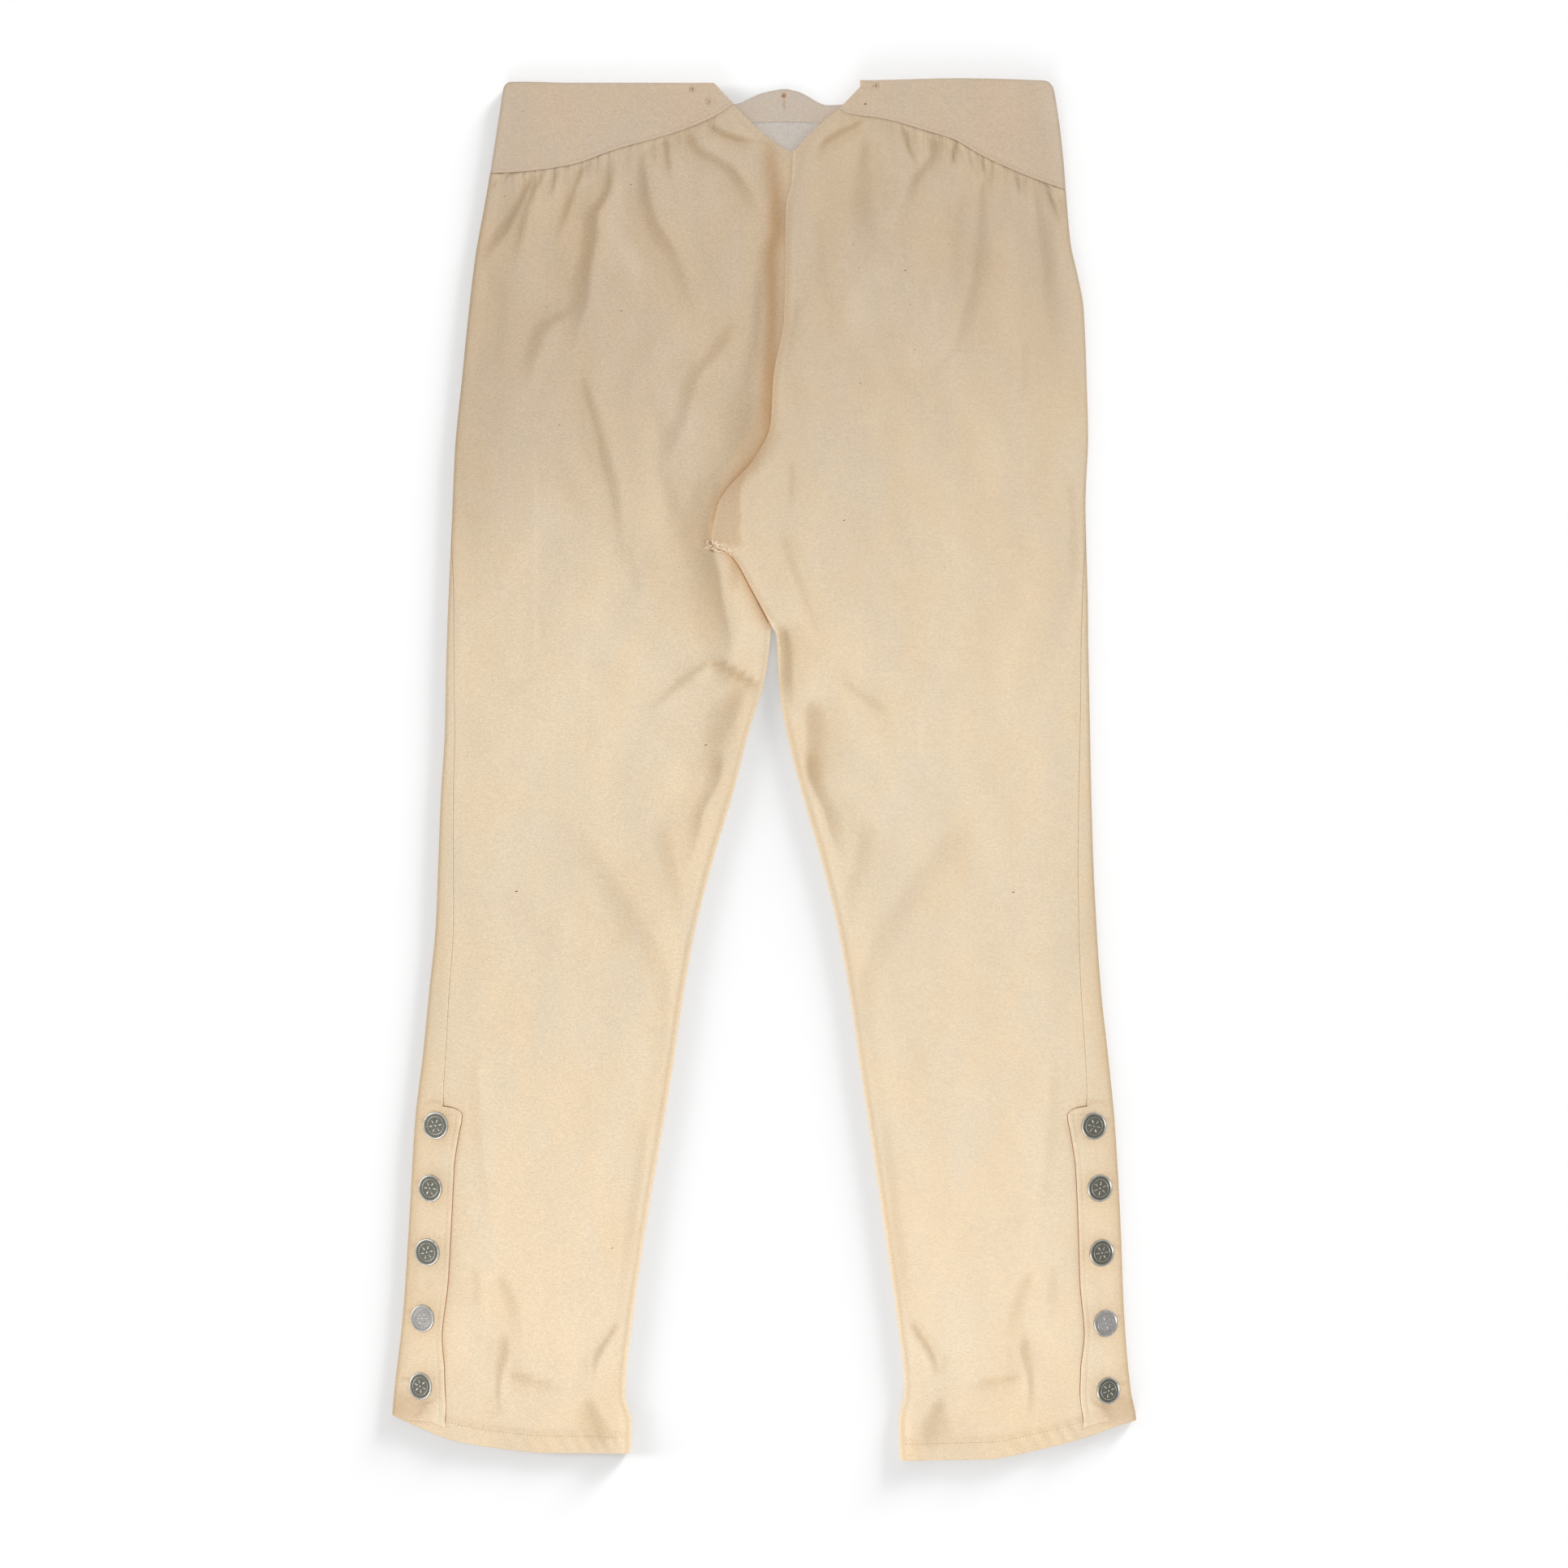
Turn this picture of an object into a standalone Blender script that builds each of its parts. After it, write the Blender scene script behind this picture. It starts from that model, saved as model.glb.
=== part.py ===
"""Colonial overalls: long-legged breeches with a gathered seat, laid flat with their back up.

Sizes are in millimetres until metres() turns them into Blender's units. +X is the right side of the laid
garment, +Y runs to the waist and +Z up from the surface that it lies on, which is at zero.
"""
import math
from collections import namedtuple

import bmesh
import bpy
from mathutils import Vector

CLOTH = 1.2           # wall of one layer of napped twill
BAND = 1.8            # wall of the waistband, which is two layers
LINING = 1.0
SEAM = 0.3            # gap between two pieces along a seam
LEAN_IN = 0.2         # how far the square end of a wall on a rolled edge leans past its middle line
ROLL = 2.4            # mid-wall radius of the folded edge of a leg
QUARTER = ROLL * math.pi / 2
FLAT_TOP = CLOTH / 2 + 2 * ROLL
CENTRE_ROLL = 1.4     # mid-wall radius of the centre-back fold
CENTRE_RETURN = 6.0   # cloth turned under behind that fold
CENTRE_DROP = 4.7     # from the top of the centre-back fold down to the panel under it
UNDERLAP = 7.0        # how far the left panel runs on under the right one
CROTCH = 112.0
LAP_RUN = 22.0        # distance up to the crotch over which the panels leave the round form of a leg
LEFT_DROP_RUN = 12.0  # distance up to the crotch over which the left panel goes down under the right one
FOLD_RUN = 26.0       # distance above the crotch over which the centre-back fold turns right under
UNDERLAP_RUN = 40.0
CENTRE_FRONT_FOOT = 5.0
CENTRE_FRONT_TOP = 16.0
FRONT_SEAM_TOP = 501.0

HEM_LEVEL = -520.0
WAIST_LEVEL = 500.0
SHOULDER = 45.0       # distance over which a leg rises from its outer edge to its crown
INNER_SHOULDER = 30.0
VENT_SHOULDER = 36.0  # the same, from the centre back to the end of the waistband
HEM_REACH = 150.0     # the rows bend to the hem's line over this distance
WAIST_REACH = 250.0   # and to the waist's line over this one
RELIEF = 1.5          # how strongly every fold and gather stands out
EDGE_CALM = 10.0      # folds fade out over this distance from a leg's edge
CENTRE_CALM = 8.0
TUCK = 5.0            # how far the gathered edge runs up under the waistband
TUCK_END = 6.5        # from that edge down to where the cloth starts to rise again
TUCK_RISE = 16.0      # and then how far on until it has risen
TUCK_FADE = 6.0
TUCK_SIDE = 6.0       # nearer than this to the side, nothing is tucked under the waistband
TUCK_RUN = 10.0
TUCK_END_RUN = 12.0
BAND_BOTTOM = 470.0
BAND_TOP = 530.0
BAND_SHOULDER = 30.0
BAND_CROWN = 1.8      # how much higher the waistband lies than its rolled edge
END_SLANT = 16.0      # how far a waistband half's end slants outwards
END_SLANT_HEIGHT = 17.0
CORNER = 6.0          # rounded upper corner of the waistband at each side

FLAP_TOP = -262.0
FLAP_LIFT = 1.5       # from the back panel's mid-wall up to the flap's
DIP_TOP = -248.0      # where the back panel starts to go down under the flap
DIP_RUN = 12.0
STAND_INSET = 7.0     # where the back panel's edge ends under the flap
STAND_RUN = 20.0
FLAP_RISE = 8.0       # the flap's hem stops this far above the leg's hem
FLAP_RISE_START = 6.0
FLAP_RISE_RUN = 26.0
FLAP_RISE_REACH = 40.0

BUTTON_RADIUS = 10.75
BUTTON_STEPS = 12
SHANK_RADIUS = 2.0
RIM_CLEARANCE = 0.9   # how far the low side of a leaning button stays above the shank's foot
SHANK_SINK = 0.5      # the shank ends this far above the level of the rim's underside
FACE_RISE = 1.5       # from the top of the shank to the button's rim

OUTER_COLUMNS = 3
FLAT_COLUMNS = 12
INNER_COLUMNS = 6
BACK_COLUMNS = OUTER_COLUMNS + FLAT_COLUMNS + INNER_COLUMNS
RETURN_COLUMNS = 2    # of the inner ones, those on the cloth turned under at the centre back
GATHER_CUTS = 2       # extra columns in each of a back panel's, where it is gathered
GATHER_LEVEL = 430
GATHER_REACH = 140.0
GATHER_BEND = 1.3     # above 1, a gather starts straight down and drifts further on
GATHER_NARROW, GATHER_WIDE = 0.7, 1.2
FRONT_INNER, FRONT_FLAT, FRONT_OUTER = 2, 4, 6
FRONT_COLUMNS = FRONT_INNER + FRONT_FLAT + FRONT_OUTER
FRONT_PACKING = 1.5   # above 1, a front panel's outer columns lie closer together on the roll
BAND_ROLL, BAND_FLAT, BAND_ROWS = 3, 12, 4
BAND_END = SEAM / 2 + LEAN_IN * BAND / CLOTH
FRONT_BAND_COLUMNS, FRONT_BAND_ROWS, FRONT_BAND_ROLL = 26, 3, 3
LINING_LEFT, LINING_RIGHT, LINING_FOOT = -36.0, 66.0, 446.0
LINING_COLUMNS, LINING_ROWS = 8, 3

FOLD_STEPS = 8
FOLD_REACH = 2.5      # in widths of the fold
FOLD_END = 0.12       # a fold starts and stops at this share of half a wave, so that its ends are soft
SETTLE_STEPS = 12     # rounds in which a point finds its place on its row and its column
SETTLE_SHARE = 0.7
STRAIGHT = 0.001      # a smaller angle than this counts as none
MILLIMETRE = 0.001
MERGE = 0.00001

Section = namedtuple("Section", "y outer inner crown")
LEFT_LEG = (
    Section(540, -201, 5, 2.0),
    Section(462, -213, 5, 3.5),
    Section(433, -218, 5, 5.0),
    Section(400, -224, 5, 6.0),
    Section(350, -230, 5, 6.0),
    Section(300, -235, 5, 6.0),
    Section(250, -240, 5, 5.5),
    Section(181, -243, 5, 5.0),
    Section(112, -246, 5, 4.0),
    Section(80, -247, 2, 3.8),
    Section(30, -248, -12, 3.4),
    Section(-20, -251, -25, 3.0),
    Section(-70, -253, -40, 3.0),
    Section(-121, -255, -53, 3.0),
    Section(-171, -260, -62.5, 3.0),
    Section(-222, -265, -70, 3.0),
    Section(-272, -271, -78, 3.0),
    Section(-348, -275.5, -91, 2.8),
    Section(-423, -280.5, -102, 2.5),
    Section(-486, -287.5, -108.5, 2.0),
    Section(-506, -289, -103, 1.6),
    Section(-540, -290, -105, 1.2),
)
RIGHT_LEG = (
    Section(540, 220, 5, 2.0),
    Section(525, 225, 5, 2.0),
    Section(473, 232, 5, 3.0),
    Section(447, 234, 5, 3.5),
    Section(408, 237.5, 5, 6.0),
    Section(383, 243, 5, 6.0),
    Section(358, 247.5, 5, 6.0),
    Section(300, 250, 5, 6.0),
    Section(257, 251, 5, 5.5),
    Section(207, 249, 5, 5.0),
    Section(112, 251, 5, 4.0),
    Section(106, 251, 9, 4.0),
    Section(80, 251.5, 10.5, 3.8),
    Section(55, 252, 12.5, 3.6),
    Section(30, 252.5, 17, 3.4),
    Section(-20, 253.5, 29.5, 3.0),
    Section(-70, 255, 44, 3.0),
    Section(-121, 257.5, 56.5, 3.0),
    Section(-171, 261, 65.5, 3.0),
    Section(-222, 266.5, 73, 3.0),
    Section(-272, 271.5, 80.5, 3.0),
    Section(-348, 276, 92, 2.8),
    Section(-423, 279, 102.5, 2.5),
    Section(-481, 284, 108.5, 2.0),
    Section(-506, 288.5, 104, 1.6),
    Section(-540, 289, 106, 1.2),
)

# The fold where the right back panel lies over the left one, with the height of its top.
CentreBack = namedtuple("CentreBack", "y x lap")
CENTRE_BACK = (
    CentreBack(478, 22, 8.3),
    CentreBack(456, 21, 8.6),
    CentreBack(436, 16.5, 9.2),
    CentreBack(396, 16, 10.0),
    CentreBack(350, 15, 10.0),
    CentreBack(305, 7, 10.0),
    CentreBack(267, 4.5, 9.5),
    CentreBack(239, -9.5, 9.0),
    CentreBack(216, -30, 9.0),
    CentreBack(203, -37, 9.0),
    CentreBack(176, -41, 8.6),
    CentreBack(165, -25, 8.3),
    CentreBack(139, -9.5, 7.8),
    CentreBack(112, 5, 7.0),
)

# Lower edge of each half of the waistband, and the edge of the open vent beyond its end.
Edge = namedtuple("Edge", "x y")
LEFT_BAND_LOWER = (Edge(-214, 462), Edge(-190, 463), Edge(-152, 468), Edge(-115, 480.5), Edge(-71, 493),
                   Edge(-40, 505.5), Edge(-24, 516))
RIGHT_BAND_LOWER = (Edge(58, 512), Edge(66, 508), Edge(93, 504), Edge(125, 495), Edge(147, 488),
                    Edge(168, 476), Edge(206, 459), Edge(223, 453), Edge(235, 448.5))
LEFT_BAND_UPPER = (Edge(-214, 532.5), Edge(-190, 533), Edge(-152, 532), Edge(-24, 532))
RIGHT_BAND_UPPER = (Edge(58, 534), Edge(74, 534), Edge(151, 535.5), Edge(235, 533.5))
LEFT_VENT = (Edge(-24, 515), Edge(-1, 493), Edge(15, 482), Edge(22, 478), Edge(32, 472))
RIGHT_VENT = (Edge(14, 470), Edge(22, 478), Edge(31, 488), Edge(43, 500), Edge(58, 512))
FRONT_BAND_LOWER = (Edge(-214, 462), Edge(-150, 479), Edge(-80, 495), Edge(16, 501), Edge(110, 493),
                    Edge(180, 471), Edge(223, 453), Edge(235, 448.5))
FRONT_BAND_UPPER = (Edge(-214, 532.5), Edge(-150, 527), Edge(-80, 520), Edge(-25, 516), Edge(-1, 525),
                    Edge(16, 528), Edge(26, 526), Edge(49, 515.5), Edge(90, 520), Edge(150, 529),
                    Edge(235, 533.5))
LEFT_HEM = (Edge(-290, -500), Edge(-265, -511.5), Edge(-246, -519), Edge(-211, -526), Edge(-169, -530),
            Edge(-100, -530.5))
RIGHT_HEM = (Edge(100, -536), Edge(171, -535), Edge(209, -528.5), Edge(252, -517), Edge(267, -511.5),
             Edge(290, -504))

# How far round the outer edge the front panel comes: the side seam, then the free edge of the flap.
Seam = namedtuple("Seam", "y inset")
SIDE_SEAM = (
    Seam(540, 0.4), Seam(200, 0.4), Seam(131, 5.0), Seam(30, 8.5), Seam(-45, 11.5), Seam(-121, 14.5),
    Seam(-200, 17.5), Seam(-261, 21.5), Seam(-267, 36.5), Seam(-310, 33.5), Seam(-394, 34.0),
    Seam(-433, 32.5), Seam(-467, 38.0), Seam(-504, 42.0), Seam(-540, 42.0),
)

# A gather starts at the waistband at x and runs down for its length, drifting sideways.
Gather = namedtuple("Gather", "x drift length width depth")
LEFT_GATHERS = (
    Gather(-207, -5, 22, 4, 1.2),
    Gather(-185, -34, 70, 6, 2.6),
    Gather(-174, -18, 80, 5, 1.6),
    Gather(-160, -7, 26, 4, 1.3),
    Gather(-141, -17, 48, 5, 2.0),
    Gather(-119, -29, 118, 7, 3.0),
    Gather(-97, 27, 92, 7, 2.6),
    Gather(-86, 2, 24, 4, 1.2),
    Gather(-76, 3, 32, 4, 1.8),
    Gather(-66, 4, 22, 4, 1.2),
    Gather(-56, 48, 76, 8, 2.8),
    Gather(-40, 24, 22, 4, 1.0),
)
RIGHT_GATHERS = (
    Gather(66, -24, 30, 6, 1.8),
    Gather(77, -13, 62, 6, 1.8),
    Gather(88, -8, 88, 6, 1.5),
    Gather(108, 8, 24, 4, 1.4),
    Gather(130, -15, 52, 5, 1.8),
    Gather(148, -2, 26, 4, 1.5),
    Gather(163, 0, 20, 4, 1.1),
    Gather(176, -17, 126, 7, 3.0),
    Gather(193, 5, 34, 4, 1.5),
    Gather(208, 20, 134, 6, 2.6),
    Gather(220, 6, 26, 4, 1.2),
)

# A fold runs from (x0, y0) to (x2, y2) and bends towards (x1, y1). A ridge has a depth below zero.
Fold = namedtuple("Fold", "x0 y0 x1 y1 x2 y2 width depth")
LEFT_FOLDS = (
    Fold(-173, 347, -181, 312, -185, 290, 10, 1.6),
    Fold(-142, 305, -122, 240, -112, 176, 8, 2.4),
    Fold(-112, 176, -106, 148, -98, 120, 10, 1.2),
    Fold(-19, 350, -57, 301, -80, 258, 12, 2.4),
    Fold(-82, 250, -78, 226, -62, 210, 11, 1.5),
    Fold(-57, 207, -52, 131, -20, 80, 13, 3.0),
    Fold(-40, 160, -28, 131, -10, 100, 8, -1.6),
    Fold(-9, 66, -24, 76, -42, 38, 8, 1.8),
    Fold(-49, 79, -75, 60, -102, 37, 13, 1.6),
    Fold(-38, 30, -44, 0, -53, -35, 12, 1.6),
    Fold(-76, -59, -68, -80, -60, -105, 10, 1.4),
    Fold(-169, -32, -111, -95, -80, -150, 14, 2.3),
    Fold(-80, -150, -70, -200, -93, -271, 12, 2.0),
    Fold(-231, -221, -220, -305, -188, -413, 11, 1.7),
    Fold(-202, -469, -170, -470, -138, -481, 10, -1.6),
    Fold(-115, -433, -123, -452, -134, -471, 9, 1.6),
)
RIGHT_FOLDS = (
    Fold(159, 350, 150, 310, 112, 286, 11, 2.2),
    Fold(203, 340, 202, 312, 201, 290, 10, 1.4),
    Fold(43, 423, 46, 390, 49, 355, 12, 1.6),
    Fold(17, 188, 35, 125, 57, 78, 9, 2.2),
    Fold(57, 78, 66, 62, 87, 52, 8, 1.8),
    Fold(13, 104, 26, 90, 20, 45, 9, 1.8),
    Fold(38, 52, 42, 28, 45, 3, 12, 1.7),
    Fold(171, -28, 118, -90, 86, -139, 14, 2.3),
    Fold(86, -139, 74, -186, 86, -235, 12, 2.0),
    Fold(232, -221, 224, -300, 194, -413, 11, 1.7),
    Fold(140, -481, 170, -472, 202, -467, 10, -1.6),
    Fold(117, -429, 127, -450, 138, -471, 9, 1.6),
)

# Where each button's centre is, seen from above, and how far it leans out to the side.
Button = namedtuple("Button", "x y lean")
LEFT_BUTTONS = (Button(-254.5, -275.5, 20), Button(-258.5, -324, 27), Button(-261, -373.5, 22),
                Button(-264.5, -424.5, 28), Button(-266, -477, 31))
RIGHT_BUTTONS = (Button(255, -276, 20), Button(259.5, -324, 22), Button(261, -374, 24),
                 Button(264, -428.5, 26), Button(266, -480.5, 28))

# Half-section of a button's head, with heights from the top of its shank.
Profile = namedtuple("Profile", "radius height")
BUTTON_HEAD = (
    Profile(0, 2.5), Profile(8.4, 1.9), Profile(8.9, 2.6), Profile(10.2, 2.4),
    Profile(BUTTON_RADIUS, FACE_RISE), Profile(9.7, 0.4), Profile(2.6, 0), Profile(SHANK_RADIUS, -0.8),
)

Leg = namedtuple("Leg", "side sections hem lower vent end gathers folds shoulder")
LEFT = Leg(-1, LEFT_LEG, LEFT_HEM, LEFT_BAND_LOWER, LEFT_VENT, -24, LEFT_GATHERS, LEFT_FOLDS, 22.0)
RIGHT = Leg(1, RIGHT_LEG, RIGHT_HEM, RIGHT_BAND_LOWER, RIGHT_VENT, 58, RIGHT_GATHERS, RIGHT_FOLDS, 40.0)

# Nominal heights of the grid's rows: closer at the hem, the flap, the crotch and the gathers.
ROW_LEVELS = (
    -520, -508, -490, -464, -430, -390, -350, -312, -280, -267, -262, -225, -185, -145, -105, -65, -25,
    15, 50, 76, 90, 99, 106, 112, 124, 138, 152, 165, 177, 196, 216, 240, 268, 298, 330, 364, 396,
    430, 446, 458, 469, 479, 487, 493.5, 500,
)

Finish = namedtuple("Finish", "red green blue roughness metallic")
FINISHES = {
    "cloth": Finish(0.80, 0.70, 0.56, 0.9, 0.0),
    "waistband_cloth": Finish(0.74, 0.63, 0.50, 0.9, 0.0),
    "lining_cloth": Finish(0.82, 0.82, 0.84, 0.9, 0.0),
    "pewter": Finish(0.48, 0.47, 0.44, 0.4, 1.0),
}


def mix(start, stop, share):
    return start + (stop - start) * share


def ease(share):
    """Smooth step from 0 to 1."""
    share = min(max(share, 0.0), 1.0)
    return share * share * (3 - 2 * share)


def secant(rows, name, row):
    run = rows[row + 1][0] - rows[row][0]
    return (getattr(rows[row + 1], name) - getattr(rows[row], name)) / run


def slope(rows, name, row):
    """Slope of a column at a row, limited so that the curve never overshoots its rows."""
    if row == 0:
        return secant(rows, name, 0)
    if row == len(rows) - 1:
        return secant(rows, name, row - 1)
    before = secant(rows, name, row - 1)
    after = secant(rows, name, row)
    if before * after <= 0:
        return 0.0
    return 2 * before * after / (before + after)


def read(rows, name, place):
    """Value of a table's column at a place between its rows, on a smooth curve."""
    keys = [row[0] for row in rows]
    down = keys[0] > keys[-1]
    low, high = min(keys), max(keys)
    place = min(max(place, low), high)
    row = 0
    while row < len(rows) - 2 and (keys[row + 1] > place if down else keys[row + 1] < place):
        row += 1
    run = keys[row + 1] - keys[row]
    share = (place - keys[row]) / run
    start = getattr(rows[row], name)
    stop = getattr(rows[row + 1], name)
    lift = slope(rows, name, row) * run
    land = slope(rows, name, row + 1) * run
    return (
        (2 * share**3 - 3 * share**2 + 1) * start
        + (share**3 - 2 * share**2 + share) * lift
        + (3 * share**2 - 2 * share**3) * stop
        + (share**3 - share**2) * land
    )


def curl(length, whole, angle):
    """Run and drop after a length of cloth that turns down evenly by an angle over its whole length."""
    if angle < STRAIGHT:
        return length, 0.0
    bend = angle / whole
    return math.sin(bend * length) / bend, (1 - math.cos(bend * length)) / bend


def turn_under(length, radius):
    """Run and drop along a fold that turns right round and comes back underneath itself."""
    half = math.pi * radius
    if length <= half:
        return radius * math.sin(length / radius), radius * (1 - math.cos(length / radius))
    return -(length - half), 2 * radius


def outer(leg, y):
    return read(leg.sections, "outer", y)


def outer_start(leg, y):
    """Where the top of a leg starts to roll down to its outer edge."""
    return outer(leg, y) - leg.side * (ROLL + CLOTH / 2)


def from_outer(leg, x, y):
    """Distance in from the start of the outer roll."""
    return (outer_start(leg, y) - x) * leg.side


def open_leg(leg, y):
    """0 along the legs, and 1 where the two back panels lap at the centre."""
    if leg.side < 0:
        return ease((y - CROTCH) / LAP_RUN + 1)
    return ease((y - CROTCH) / FOLD_RUN)


def centre_back(y):
    return read(CENTRE_BACK, "x", y)


def inner(leg, y):
    """Inner edge of a back panel: the inside leg, and above the crotch the centre-back lap."""
    if y <= CROTCH:
        return read(leg.sections, "inner", y)
    if leg.side > 0:
        return centre_back(y)
    return centre_back(y) + UNDERLAP * ease((y - CROTCH) / UNDERLAP_RUN)


def inner_bend(leg, y):
    """Radius and reach of the inner edge's curl."""
    share = open_leg(leg, y)
    if leg.side > 0:
        radius = mix(ROLL, CENTRE_ROLL, ease(share / 0.3))
        return radius, radius
    return ROLL, curl(QUARTER, QUARTER, math.pi / 2 * (1 - share))[0]


def inner_start(leg, y):
    """Where the top of a back panel starts to turn down to its inner edge."""
    cover = CLOTH / 2
    if leg.side < 0:
        cover *= 1 - open_leg(leg, y)
    return inner(leg, y) + leg.side * (cover + inner_bend(leg, y)[1])


def from_inner(leg, x, y):
    return (x - inner_start(leg, y)) * leg.side


def inner_height(leg, y):
    """Height of a back panel where its inner edge starts to turn."""
    lap = read(CENTRE_BACK, "lap", y)
    if leg.side > 0:
        return mix(FLAT_TOP, lap, ease((y - CROTCH) / LAP_RUN + 1))
    return mix(FLAT_TOP, lap - CENTRE_DROP, ease((y - CROTCH) / LEFT_DROP_RUN + 1))


def flap_lift(y):
    """How far the back panel lies below the flap's level: nothing above the flap."""
    return FLAP_LIFT * ease((DIP_TOP - y) / DIP_RUN)


def band_height(leg, x, y):
    """Mid-wall height of a waistband half."""
    return BAND / 2 + 2 * ROLL + BAND_CROWN * ease(from_outer(leg, x, y) / BAND_SHOULDER)


def tuck_share(leg, x):
    """1 where the gathered edge lies well under the waistband, 0 at the side and at the band's end."""
    side = from_outer(leg, x, read(leg.lower, "y", x))
    return ease((side - TUCK_SIDE) / TUCK_RUN) * ease((leg.side * (x - leg.end)) / TUCK_END_RUN)


def in_vent(leg, x):
    return leg.side * (x - leg.end) < 0


def top_line(leg, x):
    """Upper edge of a back panel, seen from above."""
    if in_vent(leg, x):
        return read(leg.vent, "y", x)
    return read(leg.lower, "y", x) + mix(-3 * SEAM, TUCK, tuck_share(leg, x))


def top_height(leg, x, y):
    """Height of a back panel along its upper edge."""
    under = BAND / 2 + 2 * SEAM + CLOTH / 2
    if in_vent(leg, x):
        band = band_height(leg, leg.end, y) - under
        share = ease((leg.end - x) * leg.side / VENT_SHOULDER)
        return mix(band, inner_height(leg, y), share)
    return band_height(leg, x, y) - mix(SEAM, under, ease(from_outer(leg, x, y) / TUCK_SIDE))


def trace(fold):
    """Points along a fold's curve."""
    points = []
    for step in range(FOLD_STEPS + 1):
        share = step / FOLD_STEPS
        start, bend, stop = (1 - share) ** 2, 2 * share * (1 - share), share**2
        points.append((
            start * fold.x0 + bend * fold.x1 + stop * fold.x2,
            start * fold.y0 + bend * fold.y1 + stop * fold.y2,
        ))
    return points


FOLD_PATHS = {fold: trace(fold) for fold in LEFT_FOLDS + RIGHT_FOLDS}


def fold_depth(fold, x, y):
    """How far a fold lowers the cloth at a point."""
    path = FOLD_PATHS[fold]
    nearest = None
    for step in range(FOLD_STEPS):
        (ax, ay), (bx, by) = path[step], path[step + 1]
        run_x, run_y = bx - ax, by - ay
        share = ((x - ax) * run_x + (y - ay) * run_y) / (run_x**2 + run_y**2)
        share = min(max(share, 0.0), 1.0)
        gap = math.hypot(x - ax - share * run_x, y - ay - share * run_y)
        if nearest is None or gap < nearest[0]:
            nearest = (gap, (step + share) / FOLD_STEPS)
    gap, along = nearest
    if gap > FOLD_REACH * fold.width:
        return 0.0
    strength = math.sin(math.pi * mix(FOLD_END, 1 - FOLD_END, along))
    return fold.depth * strength * math.exp(-((gap / fold.width) ** 2))


def gather_depth(gather, x, below):
    """How far a gather lowers the cloth at a distance below the waistband."""
    along = below / gather.length
    if along > 1:
        return 0.0
    middle = gather.x + gather.drift * along**GATHER_BEND
    width = gather.width * mix(GATHER_NARROW, GATHER_WIDE, along)
    return gather.depth * math.exp(-(((x - middle) / width) ** 2)) * (1 - ease(along))


def creases(leg, x, y):
    """All the folds and gathers of a back panel at a point."""
    depth = sum(fold_depth(fold, x, y) for fold in leg.folds)
    below = top_line(leg, x) - y
    if 0 < below < GATHER_REACH and not in_vent(leg, x):
        gathered = sum(gather_depth(gather, x, below) for gather in leg.gathers)
        depth += gathered * ease((below - TUCK_END) / TUCK_FADE)
    return depth


def back_height(leg, x, y):
    """Mid-wall height of a back panel."""
    side = max(from_outer(leg, x, y), 0.0)
    centre = max(from_inner(leg, x, y), 0.0)
    shoulder = mix(INNER_SHOULDER, leg.shoulder, open_leg(leg, y))
    near_centre = ease(centre / shoulder)
    level = mix(inner_height(leg, y), FLAT_TOP - flap_lift(y), near_centre)
    level += read(leg.sections, "crown", y) * ease(side / SHOULDER) * near_centre
    below = top_line(leg, x) - y
    level = mix(top_height(leg, x, y), level, ease((below - TUCK_END) / TUCK_RISE))
    return level - RELIEF * creases(leg, x, y) * ease(side / EDGE_CALM) * ease(centre / CENTRE_CALM)


def side_point(leg, y, length):
    """Point on the ring round a leg's outer edge, a length up from its outermost line."""
    start = outer_start(leg, y)
    if length > QUARTER:
        x = start - leg.side * (length - QUARTER)
        return x, back_height(leg, x, y)
    turn = length / ROLL
    x = start + leg.side * ROLL * math.cos(turn)
    if length > 0:
        return x, mix(CLOTH / 2 + ROLL, back_height(leg, start, y), math.sin(turn))
    return x, CLOTH / 2 + ROLL + ROLL * math.sin(turn)


def row_level(row):
    """Nominal height of a row, also between two rows."""
    low = min(int(row), len(ROW_LEVELS) - 2)
    return mix(ROW_LEVELS[low], ROW_LEVELS[low + 1], row - low)


def row_line(leg, level, x, waist):
    """Height of a row at x: it follows the hem at its foot and the waist line at its head."""
    at_hem = 1 - ease((level - HEM_LEVEL) / HEM_REACH)
    at_waist = ease((level - WAIST_LEVEL) / WAIST_REACH + 1)
    hem = read(leg.hem, "y", x) - HEM_LEVEL
    return level + at_hem * hem + at_waist * (waist(x) - WAIST_LEVEL)


def settle(leg, level, waist, place):
    """Find a point that is on its row and on its column: place gives its x for a height."""
    y = level
    for _ in range(SETTLE_STEPS):
        y = mix(y, row_line(leg, level, place(y), waist), SETTLE_SHARE)
    return place(y), y


def side_inset(y):
    return read(SIDE_SEAM, "inset", y)


def back_inset(y):
    """Start of the back panel: at the side seam, and out under the flap below it."""
    seam = side_inset(max(y, FLAP_TOP)) + SEAM / 2
    return mix(seam, STAND_INSET, ease((FLAP_TOP - y) / STAND_RUN))


def back_place(leg, column, y):
    """x of a back panel's column at a height, as far as its inner curl."""
    rim = back_inset(y) + QUARTER * min(column, OUTER_COLUMNS) / OUTER_COLUMNS
    if rim > QUARTER:
        rim_x = outer_start(leg, y) - leg.side * (rim - QUARTER)
    else:
        rim_x = outer_start(leg, y) + leg.side * ROLL * math.cos(rim / ROLL)
    share = min(max((column - OUTER_COLUMNS) / FLAT_COLUMNS, 0.0), 1.0)
    return mix(rim_x, inner_start(leg, y), share)


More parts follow.
